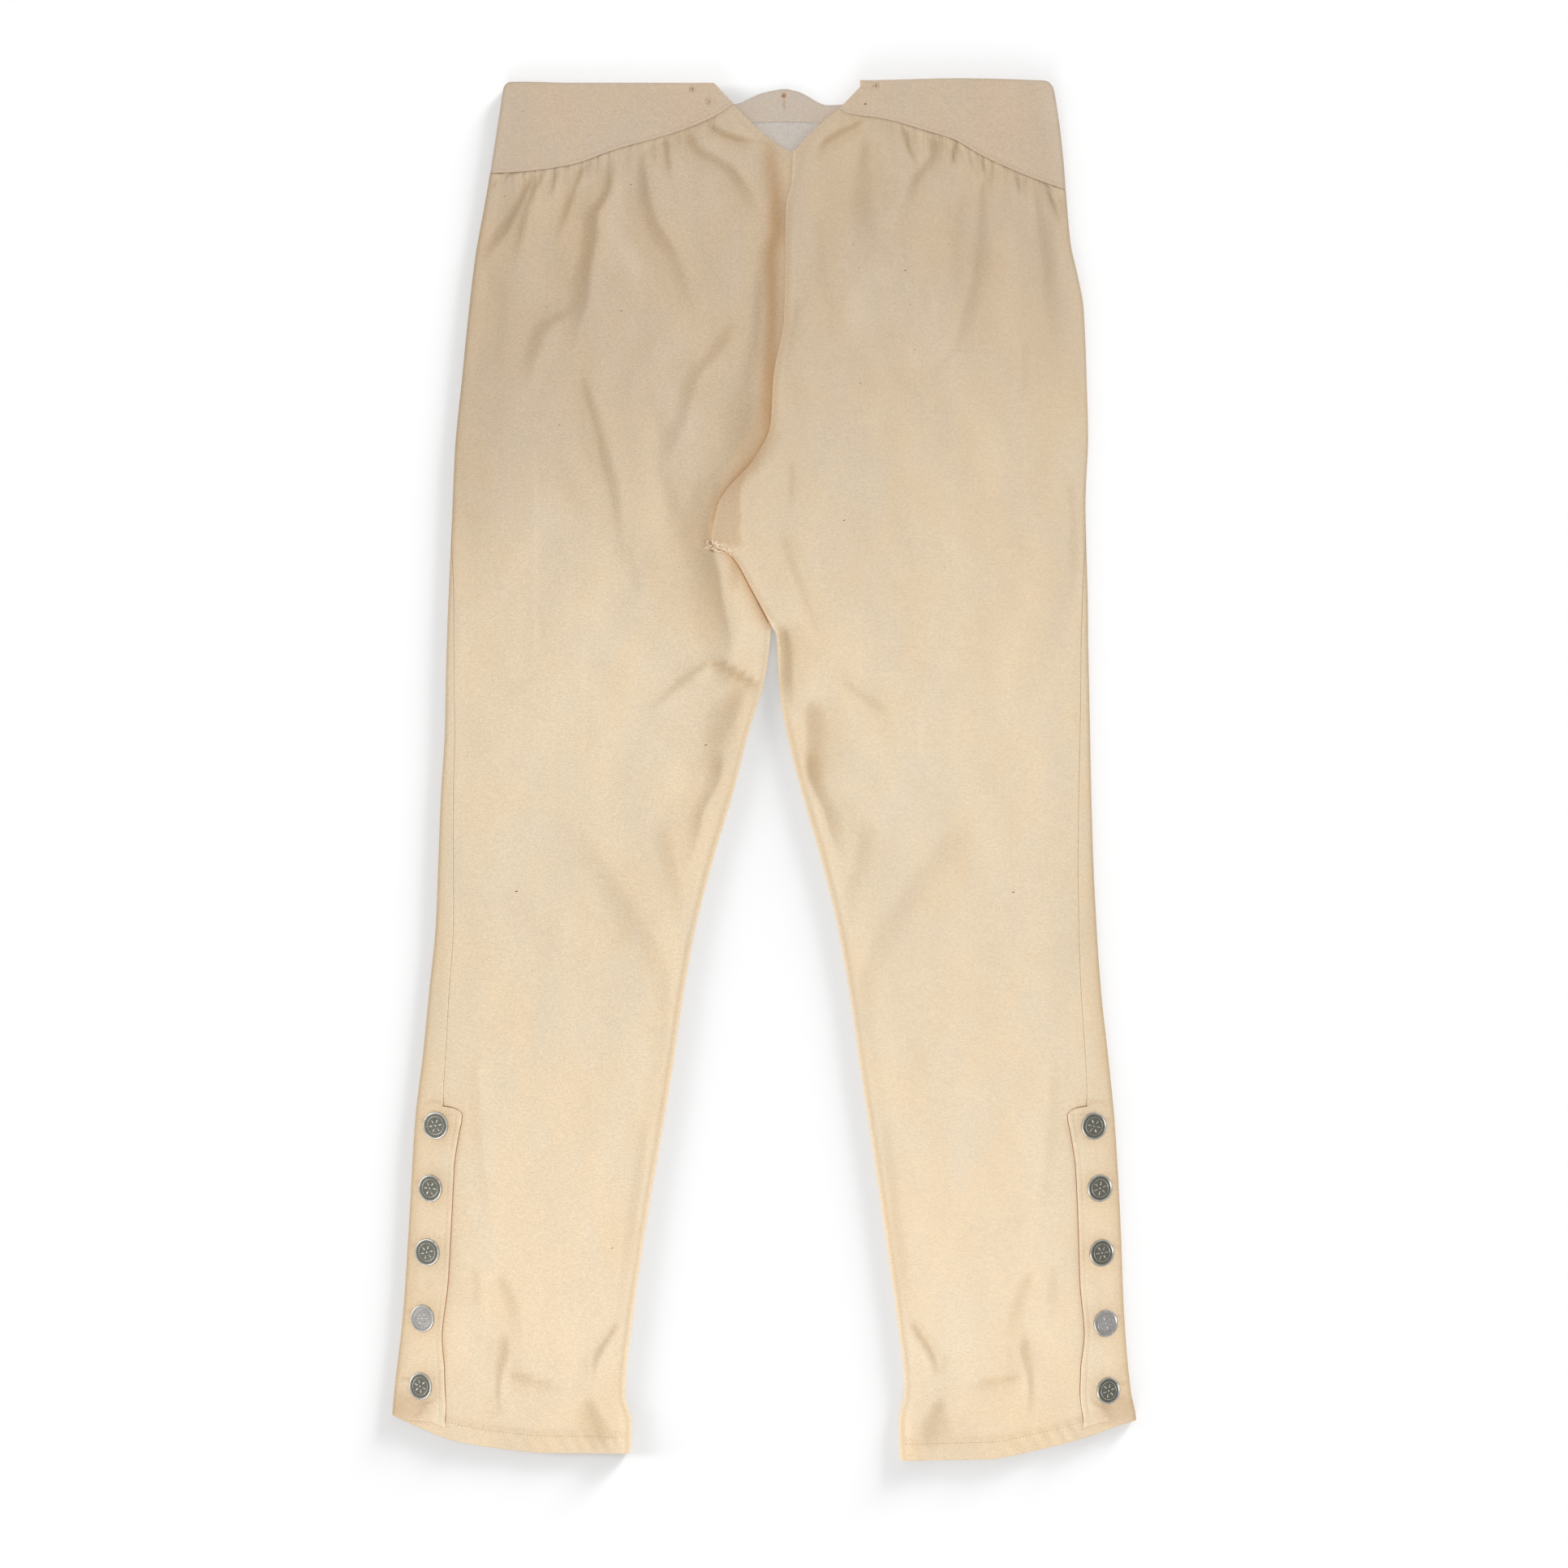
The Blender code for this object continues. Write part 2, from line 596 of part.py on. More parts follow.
def inner_curl(leg, step, y):
    """Run and drop of a back panel's inner columns past the start of the curl."""
    share = open_leg(leg, y)
    if leg.side < 0:
        length = (QUARTER - (1 - share) * (SEAM / 2 + LEAN_IN)) * step / INNER_COLUMNS
        return curl(length, QUARTER, math.pi / 2 * (1 - share))
    radius = inner_bend(leg, y)[0]
    bend_columns = INNER_COLUMNS - RETURN_COLUMNS
    seamed = (radius * math.pi / 2 - SEAM / 2 - LEAN_IN) * step / INNER_COLUMNS
    folded = radius * math.pi * min(step / bend_columns, 1.0)
    folded += CENTRE_RETURN * max(step - bend_columns, 0.0) / RETURN_COLUMNS
    return turn_under(mix(seamed, folded, share), radius)


def back_point(leg, column, row):
    """Mid-wall point of a back panel."""
    x, y = settle(leg, row_level(row), lambda at: top_line(leg, at),
                  lambda height: back_place(leg, column, height))
    if column < OUTER_COLUMNS:
        x, z = side_point(leg, y, back_inset(y) + QUARTER * column / OUTER_COLUMNS)
        return x, y, z
    step = column - OUTER_COLUMNS - FLAT_COLUMNS
    if step <= 0:
        return x, y, back_height(leg, x, y)
    run, drop = inner_curl(leg, step, y)
    return x - leg.side * run, y, back_height(leg, x, y) - drop


def front_waist(x):
    return read(FRONT_BAND_LOWER, "y", x) - SEAM / 2


def centre_front(y):
    share = ease((y - CROTCH) / (FRONT_SEAM_TOP - CROTCH))
    return mix(CENTRE_FRONT_FOOT, CENTRE_FRONT_TOP, share)


def front_open(y):
    """0 along the legs, and 1 above the crotch, where the two front panels lie edge to edge."""
    return ease((y - CROTCH) / LAP_RUN + 1)


def front_edge(leg, y):
    """Inner edge of a front panel, on its mid-wall."""
    if y > CROTCH:
        return centre_front(y) + leg.side * SEAM / 2
    return read(leg.sections, "inner", y) + leg.side * mix(CLOTH, SEAM, front_open(y)) / 2


def front_inner_start(leg, y):
    reach = curl(QUARTER, QUARTER, math.pi / 2 * (1 - front_open(y)))[0]
    return front_edge(leg, y) + leg.side * reach


def front_length(column, y):
    """Length round the outer edge for a front panel's outer columns, closer on the roll itself."""
    step = (column - FRONT_INNER - FRONT_FLAT) / FRONT_OUTER
    inset = side_inset(y)
    on_roll = ease((QUARTER + ROLL - inset) / ROLL)
    end = inset - SEAM / 2 - LEAN_IN * on_roll
    return -QUARTER + (end + QUARTER) * step**FRONT_PACKING


def front_under(leg, column, y):
    """x of a front panel's flat columns at a height."""
    share = min(max((column - FRONT_INNER) / FRONT_FLAT, 0.0), 1.0)
    return mix(front_inner_start(leg, y), outer_start(leg, y), share)


def front_point(leg, column, row):
    """Mid-wall point of a front panel, which lies underneath and wraps round the outer edge."""
    level = row_level(row)
    if column <= FRONT_INNER + FRONT_FLAT:
        x, y = settle(leg, level, front_waist, lambda height: front_under(leg, column, height))
        if column >= FRONT_INNER:
            return x, y, CLOTH / 2
        length = (QUARTER - SEAM / 2 - LEAN_IN) * (FRONT_INNER - column) / FRONT_INNER
        run, rise = curl(length, QUARTER, math.pi / 2 * (1 - front_open(y)))
        return x - leg.side * run, y, CLOTH / 2 + rise
    return wrapped_point(leg, column, level)


def wrapped_point(leg, column, level):
    """Point of a front panel on or past its outer roll, where it becomes the flap lower down."""
    past_side = front_length(column, HEM_LEVEL) > 0 and level < 0
    x, y = settle(leg, level, lambda at: top_line(leg, at) if past_side else front_waist(at),
                  lambda height: side_point_x(leg, height, front_length(column, height)))
    length = front_length(column, y)
    rise = FLAP_RISE * (1 - ease((level - HEM_LEVEL) / FLAP_RISE_REACH))
    y += rise * ease((length - FLAP_RISE_START) / FLAP_RISE_RUN)
    x, z = side_point(leg, y, length)
    if length > 0:
        z += flap_lift(y) * math.sin(min(length / ROLL, math.pi / 2))
    return x, y, z


def side_point_x(leg, y, length):
    if length > QUARTER:
        return outer_start(leg, y) - leg.side * (length - QUARTER)
    return outer_start(leg, y) + leg.side * ROLL * math.cos(length / ROLL)


def corner_drop(leg, x, y):
    """The waistband's rounded upper corner."""
    side = max((outer(leg, y) - x) * leg.side, 0.0)
    if side >= CORNER:
        return 0.0
    return CORNER - math.sqrt(CORNER**2 - (CORNER - side) ** 2)


def band_end(leg, y):
    """The slanted end of a waistband half beside the vent."""
    start = leg.lower[-1 if leg.side < 0 else 0].y
    return leg.end + leg.side * END_SLANT * min(max((y - start) / END_SLANT_HEIGHT, 0.0), 1.0)


def band_point(leg, upper, column, row):
    """Mid-wall point of a back waistband half, whose side is the upper half of a rolled edge."""
    up = row / BAND_ROWS
    y = mix(BAND_BOTTOM, BAND_TOP, up)
    x = 0.0
    share = max(column - BAND_ROLL, 0) / BAND_FLAT
    length = mix(BAND_END, QUARTER, min(column / BAND_ROLL, 1.0))
    reach = BAND / 2 + ROLL
    for _ in range(SETTLE_STEPS):
        start = outer(leg, y) - leg.side * reach
        rim = start + leg.side * ROLL * math.cos(length / ROLL)
        x = mix(rim, band_end(leg, y), share)
        high = read(upper, "y", x) - corner_drop(leg, x, y)
        y = mix(y, mix(read(leg.lower, "y", x), high, up), SETTLE_SHARE)
    if column < BAND_ROLL:
        return x, y, BAND / 2 + ROLL + ROLL * math.sin(length / ROLL)
    return x, y, band_height(leg, x, y)


def front_band_point(column, row):
    """Mid-wall point of the front waistband, flat underneath and curled up at both sides."""
    up = row / FRONT_BAND_ROWS
    flat = FRONT_BAND_COLUMNS - 2 * FRONT_BAND_ROLL
    share = min(max((column - FRONT_BAND_ROLL) / flat, 0.0), 1.0)
    past = max(FRONT_BAND_ROLL - column, column - FRONT_BAND_ROLL - flat, 0) / FRONT_BAND_ROLL
    turn = (QUARTER - BAND_END) / ROLL * past
    leg = LEFT if share < 0.5 else RIGHT
    reach = BAND / 2 + ROLL
    y = mix(BAND_BOTTOM, BAND_TOP, up)
    x = 0.0
    for _ in range(SETTLE_STEPS):
        x = mix(outer(LEFT, y) + reach, outer(RIGHT, y) - reach, share)
        x += leg.side * ROLL * math.sin(turn)
        high = read(FRONT_BAND_UPPER, "y", x) - corner_drop(leg, x, y)
        y = mix(y, mix(read(FRONT_BAND_LOWER, "y", x) + SEAM / 2, high, up), SETTLE_SHARE)
    return x, y, BAND / 2 + ROLL * (1 - math.cos(turn))


def lining_point(column, row):
    """Mid-wall point of the lining that shows in the vent, which lies on the front panels."""
    x = mix(LINING_LEFT, LINING_RIGHT, column / LINING_COLUMNS)
    y = mix(LINING_FOOT, read(FRONT_BAND_LOWER, "y", x) - SEAM, row / LINING_ROWS)
    return x, y, CLOTH + SEAM + LINING / 2


def metres(point):
    return Vector(point) * MILLIMETRE


def finish(name):
    """The material of that name, made once."""
    material = bpy.data.materials.get(name)
    if material is None:
        values = FINISHES[name]
        material = bpy.data.materials.new(name)
        material.use_nodes = True
        shader = material.node_tree.nodes["Principled BSDF"]
        shader.inputs["Base Color"].default_value = (values.red, values.green, values.blue, 1)
        shader.inputs["Roughness"].default_value = values.roughness
        shader.inputs["Metallic"].default_value = values.metallic
    return material


def add_object(name, mesh, material, parts):
    made = bpy.data.objects.new(name, mesh)
    made.data.materials.append(finish(material))
    parts.objects.link(made)
    return made


def refine(grid, row):
    """Cut the columns of the rows from this one up into narrower ones."""
    across = []
    for edge in grid.edges:
        columns = [round(vert.co.x) for vert in edge.verts]
        rows = [round(vert.co.y) for vert in edge.verts]
        flat = min(columns) >= OUTER_COLUMNS and max(columns) <= OUTER_COLUMNS + FLAT_COLUMNS
        if flat and rows[0] == rows[1] and rows[0] >= row:
            across.append(edge)
    bmesh.ops.subdivide_edges(grid, edges=across, cuts=GATHER_CUTS)


def cloth(name, columns, rows, place, wall, material, parts, dense_row=None):
    """A wall of cloth: a grid whose points are put in place, then given its thickness."""
    grid = bmesh.new()
    bmesh.ops.create_grid(grid, x_segments=columns, y_segments=rows, size=0.5)
    for vert in grid.verts:
        vert.co = ((vert.co.x + 0.5) * columns, (vert.co.y + 0.5) * rows, 0)
    if dense_row is not None:
        refine(grid, dense_row)
    for vert in grid.verts:
        vert.co = metres(place(vert.co.x, vert.co.y))
    mesh = bpy.data.meshes.new(name)
    grid.to_mesh(mesh)
    grid.free()
    made = add_object(name, mesh, material, parts)
    shell = made.modifiers.new("wall", "SOLIDIFY")
    shell.thickness = wall * MILLIMETRE
    shell.offset = 0
    shell.use_even_offset = True


def button_profile(shank):
    """Half-section of a button, from the middle of its face down to the foot of its shank."""
    head = [(row.radius, shank + row.height) for row in BUTTON_HEAD]
    return head + [(SHANK_RADIUS, 0), (0, 0)]


def flap_top(leg, x, y):
    """Height of the upper face of the flap."""
    return back_height(leg, x, y) + flap_lift(y) + CLOTH / 2


def add_button(name, leg, row, parts):
    """A shank button that stands on the flap and leans out until its rim nears the cloth."""
    lean = math.radians(row.lean)
    stand = BUTTON_RADIUS * math.sin(lean) + RIM_CLEARANCE
    shank = stand / math.cos(lean) - SHANK_SINK
    foot_x = row.x - leg.side * (shank + FACE_RISE) * math.sin(lean)
    foot_z = flap_top(leg, foot_x, row.y) + SEAM + SHANK_RADIUS * math.sin(lean)
    points = [metres((radius, 0, height)) for radius, height in button_profile(shank)]
    mesh = bpy.data.meshes.new(name)
    mesh.from_pydata(points, [(step, step + 1) for step in range(len(points) - 1)], [])
    made = add_object(name, mesh, "pewter", parts)
    made.location = metres((foot_x, row.y, foot_z))
    made.rotation_euler = (0, leg.side * lean, 0)
    turned = made.modifiers.new("turned", "SCREW")
    turned.steps = turned.render_steps = BUTTON_STEPS
    turned.use_merge_vertices = True
    turned.merge_threshold = MERGE


def clear_scene():
    for made in list(bpy.data.objects):
        bpy.data.objects.remove(made, do_unlink=True)


def main():
    clear_scene()
    parts = bpy.data.collections.new("colonial_overalls")
    bpy.context.scene.collection.children.link(parts)
    rows = len(ROW_LEVELS) - 1
    dense = ROW_LEVELS.index(GATHER_LEVEL)
    for leg, word, upper in ((LEFT, "left", LEFT_BAND_UPPER), (RIGHT, "right", RIGHT_BAND_UPPER)):
        cloth(f"back_{word}", BACK_COLUMNS, rows,
              lambda column, row: back_point(leg, column, row), CLOTH, "cloth", parts, dense)
        cloth(f"front_{word}", FRONT_COLUMNS, rows,
              lambda column, row: front_point(leg, column, row), CLOTH, "cloth", parts)
        cloth(f"waistband_back_{word}", BAND_ROLL + BAND_FLAT, BAND_ROWS,
              lambda column, row: band_point(leg, upper, column, row), BAND, "waistband_cloth", parts)
        buttons = LEFT_BUTTONS if leg is LEFT else RIGHT_BUTTONS
        for number, row in enumerate(buttons, 1):
            add_button(f"button_{word}_{number}", leg, row, parts)
    cloth("waistband_front", FRONT_BAND_COLUMNS, FRONT_BAND_ROWS, front_band_point, BAND,
          "waistband_cloth", parts)
    cloth("lining_front", LINING_COLUMNS, LINING_ROWS, lining_point, LINING, "lining_cloth", parts)


main()
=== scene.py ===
"""The looks of a pair of colonial overalls, laid flat with their back up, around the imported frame.

Sizes in the tables are in millimetres. +X is the right side of the laid garment, +Y runs to the waist and +Z
up. The shape functions take whole arrays of places at once.
"""
import math
from collections import namedtuple
from functools import lru_cache, partial

import bmesh
import bpy
import numpy as np
from mathutils import Matrix, Vector


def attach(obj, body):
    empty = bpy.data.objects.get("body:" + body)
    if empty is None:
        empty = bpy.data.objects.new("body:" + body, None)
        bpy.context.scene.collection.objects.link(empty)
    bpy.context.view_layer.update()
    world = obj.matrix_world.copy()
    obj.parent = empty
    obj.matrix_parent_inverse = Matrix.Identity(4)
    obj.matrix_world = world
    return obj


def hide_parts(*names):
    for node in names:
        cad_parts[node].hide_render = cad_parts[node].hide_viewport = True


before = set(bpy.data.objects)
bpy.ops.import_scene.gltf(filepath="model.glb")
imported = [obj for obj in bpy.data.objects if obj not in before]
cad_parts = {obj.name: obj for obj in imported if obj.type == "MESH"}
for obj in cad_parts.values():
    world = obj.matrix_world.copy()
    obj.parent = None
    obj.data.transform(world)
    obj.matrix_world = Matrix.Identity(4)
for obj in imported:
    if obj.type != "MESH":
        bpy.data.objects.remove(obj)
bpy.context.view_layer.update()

# Cut and lie of the cloth, as in the part's source
MILLIMETRE = 0.001
CLOTH = 1.2
BAND = 1.8
LINING = 1.0
SEAM = 0.06
LEAN_IN = 0.05
ROLL = 2.4
QUARTER = ROLL * math.pi / 2
FLAT_TOP = CLOTH / 2 + 2 * ROLL
CENTRE_ROLL = 1.4
CENTRE_RETURN = 6.0
CENTRE_DROP = 4.7
UNDERLAP = 7.0
CROTCH = 112.0
LAP_RUN = 22.0
LEFT_DROP_RUN = 12.0
FOLD_RUN = 26.0
UNDERLAP_RUN = 40.0
CENTRE_FRONT_FOOT = 5.0
CENTRE_FRONT_TOP = 16.0
FRONT_SEAM_TOP = 501.0
HEM_LEVEL = -520.0
WAIST_LEVEL = 500.0
SHOULDER = 45.0
INNER_SHOULDER = 30.0
VENT_SHOULDER = 36.0
HEM_REACH = 150.0
WAIST_REACH = 250.0
EDGE_CALM = 10.0
CENTRE_CALM = 8.0
TUCK = 5.0
TUCK_END = 6.5
TUCK_RISE = 16.0
TUCK_FADE = 6.0
TUCK_SIDE = 6.0
TUCK_RUN = 10.0
TUCK_END_RUN = 12.0
BAND_BOTTOM = 470.0
BAND_TOP = 530.0
BAND_SHOULDER = 30.0
BAND_CROWN = 1.8
END_SLANT = 16.0
END_SLANT_HEIGHT = 17.0
CORNER = 6.0
FLAP_TOP = -262.0
FLAP_LIFT = 1.5
DIP_TOP = -248.0
DIP_RUN = 12.0
STAND_INSET = 7.0
STAND_RUN = 20.0
FLAP_RISE = 8.0
FLAP_RISE_START = 6.0
FLAP_RISE_RUN = 26.0
FLAP_RISE_REACH = 40.0
BAND_END = SEAM / 2 + LEAN_IN * BAND / CLOTH
LINING_LEFT, LINING_RIGHT, LINING_FOOT = -36.0, 66.0, 446.0
SETTLE_STEPS = 12
SETTLE_SHARE = 0.7
STRAIGHT = 0.001

# What only shows in the picture: sewing, creases and buttons
CORNER_CUTS = 3
FOLD_SPREAD = 2.8     # the width of a fold's soft part, in widths of its crisp one
FOLD_SOFT = 0.3       # and its share
FOLD_LEAN = 0.72
FOLD_START = 0.16     # the shares of a fold's length over which it grows and dies away
FOLD_STOP = 0.5
FOLD_CREST = 0.35     # the share of a fold's height by which its upper edge stands up
FOLD_RECOVERY = 1.9   # how slowly the cloth comes up again beyond a fold, in widths
RECOVERY_END = 4      # and at how many times that it is up for good
FOLD_REACH = 4        # how far from its line a fold is looked at, in widths
LOWEST = 2.6          # a back panel's middle never comes lower than this
DARKEST = 0.48        # the slope of a fold whose painted shade is the darkest
ALLOWANCE_STEP = 0.75
OUTER_GATHERS = 70    # the small gathers are longer and stronger beyond this distance from the middle
OUTER_RUN = 60        # and grow to that over this one
HEM_STITCHES = 13.0   # from the hem's edge up to its row of stitches
EDGE_STITCHES = 4.3   # from the free edge of the flap to its row
BAND_STITCHES = 3.0
RIM_LINE = 3.4        # from the legs' inner outline to the seam line inside it
BAND_FOOT = 7.0       # the strip along the waistband's lower edge that has its own fine rows
FLAP_EDGE = 1.0
EDGE_ROUND = 0.55     # how far in a sheet's edge is rounded, as a share of its thickness
EDGE_THINNEST = 0.02  # the square of the share of its thickness that is left at the very edge
HOLE_PAST_BUTTON = 4.0
HOLE_LENGTH = 17.5
HOLE_RISE = 4.5       # a button hangs this far below the middle of its hole
HOLE_PITCH = 0.62
HOLE_HALF_WIDTH = 0.8
HOLE_END_RADIUS = 0.9
HOLE_END_STITCHES = 7
BAR_STITCHES = 15     # pairs
EYELET_STITCHES = 16
FRAYED_STITCHES, SEAM_END_STITCHES = 64, 12
BUTTON_RADIUS = 10.75
BUTTON_STEPS = 40
SHANK_RADIUS = 2.0
RIM_CLEARANCE = 0.9
SHANK_SINK = 0.5
FACE_RISE = 1.5
PETALS = 6
SAME_POINT = 0.0005
RIM_FINISH, FIELD_FINISH, BACK_FINISH = 0, 1, 2

# The photograph's view, straight down
VIEW_X = 15.1
VIEW_Y = -11.3
VIEW_HEIGHT = 4.0
LENS = 118.3
SENSOR_WIDTH = 36.0
FAR_LIMIT = 20.0
FLOOR_DEPTH = -0.3
FLOOR_SIZE = 40000
FLOOR_GREY = 0.6
STUDIO_STRENGTH = 0.61


def table(kind, *rows):
    """Rows with named columns."""
    return tuple(kind(*row) for row in rows)


# Outlines of both legs, seen from above, and how far the back panel swells up between them
Section = namedtuple("Section", "y outer inner crown")
LEFT_LEG = table(
    Section,
    (540, -201, 5, 2.0), (462, -213, 5, 3.5), (433, -218, 5, 5.0), (400, -224, 5, 6.0), (350, -230, 5, 6.0),
    (300, -235, 5, 6.0), (250, -240, 5, 5.5), (181, -243, 5, 5.0), (112, -246, 5, 4.0), (80, -247, 2, 3.8),
    (30, -248, -12, 3.4), (-20, -251, -25, 3.0), (-70, -253, -40, 3.0), (-121, -255, -53, 3.0),
    (-171, -260, -62.5, 3.0), (-222, -265, -70, 3.0), (-272, -271, -78, 3.0), (-348, -275.5, -91, 2.8),
    (-423, -280.5, -102, 2.5), (-486, -287.5, -108.5, 2.0), (-506, -289, -103, 1.6), (-540, -290, -105, 1.2),
)
RIGHT_LEG = table(
    Section,
    (540, 220, 5, 2.0), (525, 225, 5, 2.0), (473, 232, 5, 3.0), (447, 234, 5, 3.5), (408, 237.5, 5, 6.0),
    (383, 243, 5, 6.0), (358, 247.5, 5, 6.0), (300, 250, 5, 6.0), (257, 251, 5, 5.5), (207, 249, 5, 5.0),
    (112, 251, 5, 4.0), (106, 251, 9, 4.0), (80, 251.5, 10.5, 3.8), (55, 252, 12.5, 3.6), (30, 252.5, 17, 3.4),
    (-20, 253.5, 29.5, 3.0), (-70, 255, 44, 3.0), (-121, 257.5, 56.5, 3.0), (-171, 261, 65.5, 3.0),
    (-222, 266.5, 73, 3.0), (-272, 271.5, 80.5, 3.0), (-348, 276, 92, 2.8), (-423, 279, 102.5, 2.5),
    (-481, 284, 108.5, 2.0), (-506, 288.5, 104, 1.6), (-540, 289, 106, 1.2),
)

# The fold where the right back panel lies over the left one, with the height of its top.
CentreBack = namedtuple("CentreBack", "y x lap")
CENTRE_BACK = table(
    CentreBack,
    (478, 22, 8.3), (456, 21, 8.6), (436, 16.5, 9.2), (396, 16, 10.0), (350, 15, 10.0), (305, 7, 10.0),
    (267, 4.5, 9.5), (239, -9.5, 9.0), (216, -30, 9.0), (203, -37, 9.0), (176, -41, 8.6), (165, -25, 8.3),
    (139, -9.5, 7.8), (112, 5, 7.0),
)

# Lower edge of each half of the waistband, and the edge of the open vent beyond its end.
Edge = namedtuple("Edge", "x y")
LEFT_BAND_LOWER = table(
    Edge,
    (-214, 462), (-190, 463), (-152, 468), (-115, 480.5), (-71, 493), (-40, 505.5), (-24, 516),
)
RIGHT_BAND_LOWER = table(
    Edge,
    (58, 512), (66, 508), (93, 504), (125, 495), (147, 488), (168, 476), (206, 459), (223, 453), (235, 448.5),
)
LEFT_BAND_UPPER = table(Edge, (-214, 532.5), (-190, 533), (-152, 532), (-24, 532))
RIGHT_BAND_UPPER = table(Edge, (58, 534), (74, 534), (151, 535.5), (235, 533.5))
LEFT_VENT = table(Edge, (-24, 515), (-1, 493), (15, 482), (22, 478), (32, 472))
RIGHT_VENT = table(Edge, (14, 470), (22, 478), (31, 488), (43, 500), (58, 512))
FRONT_BAND_LOWER = table(
    Edge,
    (-214, 462), (-150, 479), (-80, 495), (16, 501), (110, 493), (180, 471), (223, 453), (235, 448.5),
)
FRONT_BAND_UPPER = table(
    Edge,
    (-214, 532.5), (-150, 527), (-80, 520), (-25, 516), (-1, 525), (16, 528), (26, 526), (49, 515.5), (90, 520),
    (150, 529), (235, 533.5),
)
LEFT_HEM = table(Edge, (-290, -500), (-265, -511.5), (-246, -519), (-211, -526), (-169, -530), (-100, -530.5))
RIGHT_HEM = table(Edge, (100, -536), (171, -535), (209, -528.5), (252, -517), (267, -511.5), (290, -504))

# How far round the outer edge the front panel comes: the side seam, then the free edge of the flap.
Seam = namedtuple("Seam", "y inset")
SIDE_SEAM = table(
    Seam,
    (540, 0.4), (200, 0.4), (131, 5.0), (30, 8.5), (-45, 11.5), (-121, 14.5), (-200, 17.5), (-261, 21.5),
    (-262.5, 30), (-264, 35), (-268, 37), (-274, 36.8), (-280, 36), (-310, 33.5), (-394, 34.0), (-433, 32.5),
    (-467, 38.0), (-504, 42.0), (-540, 42.0),
)

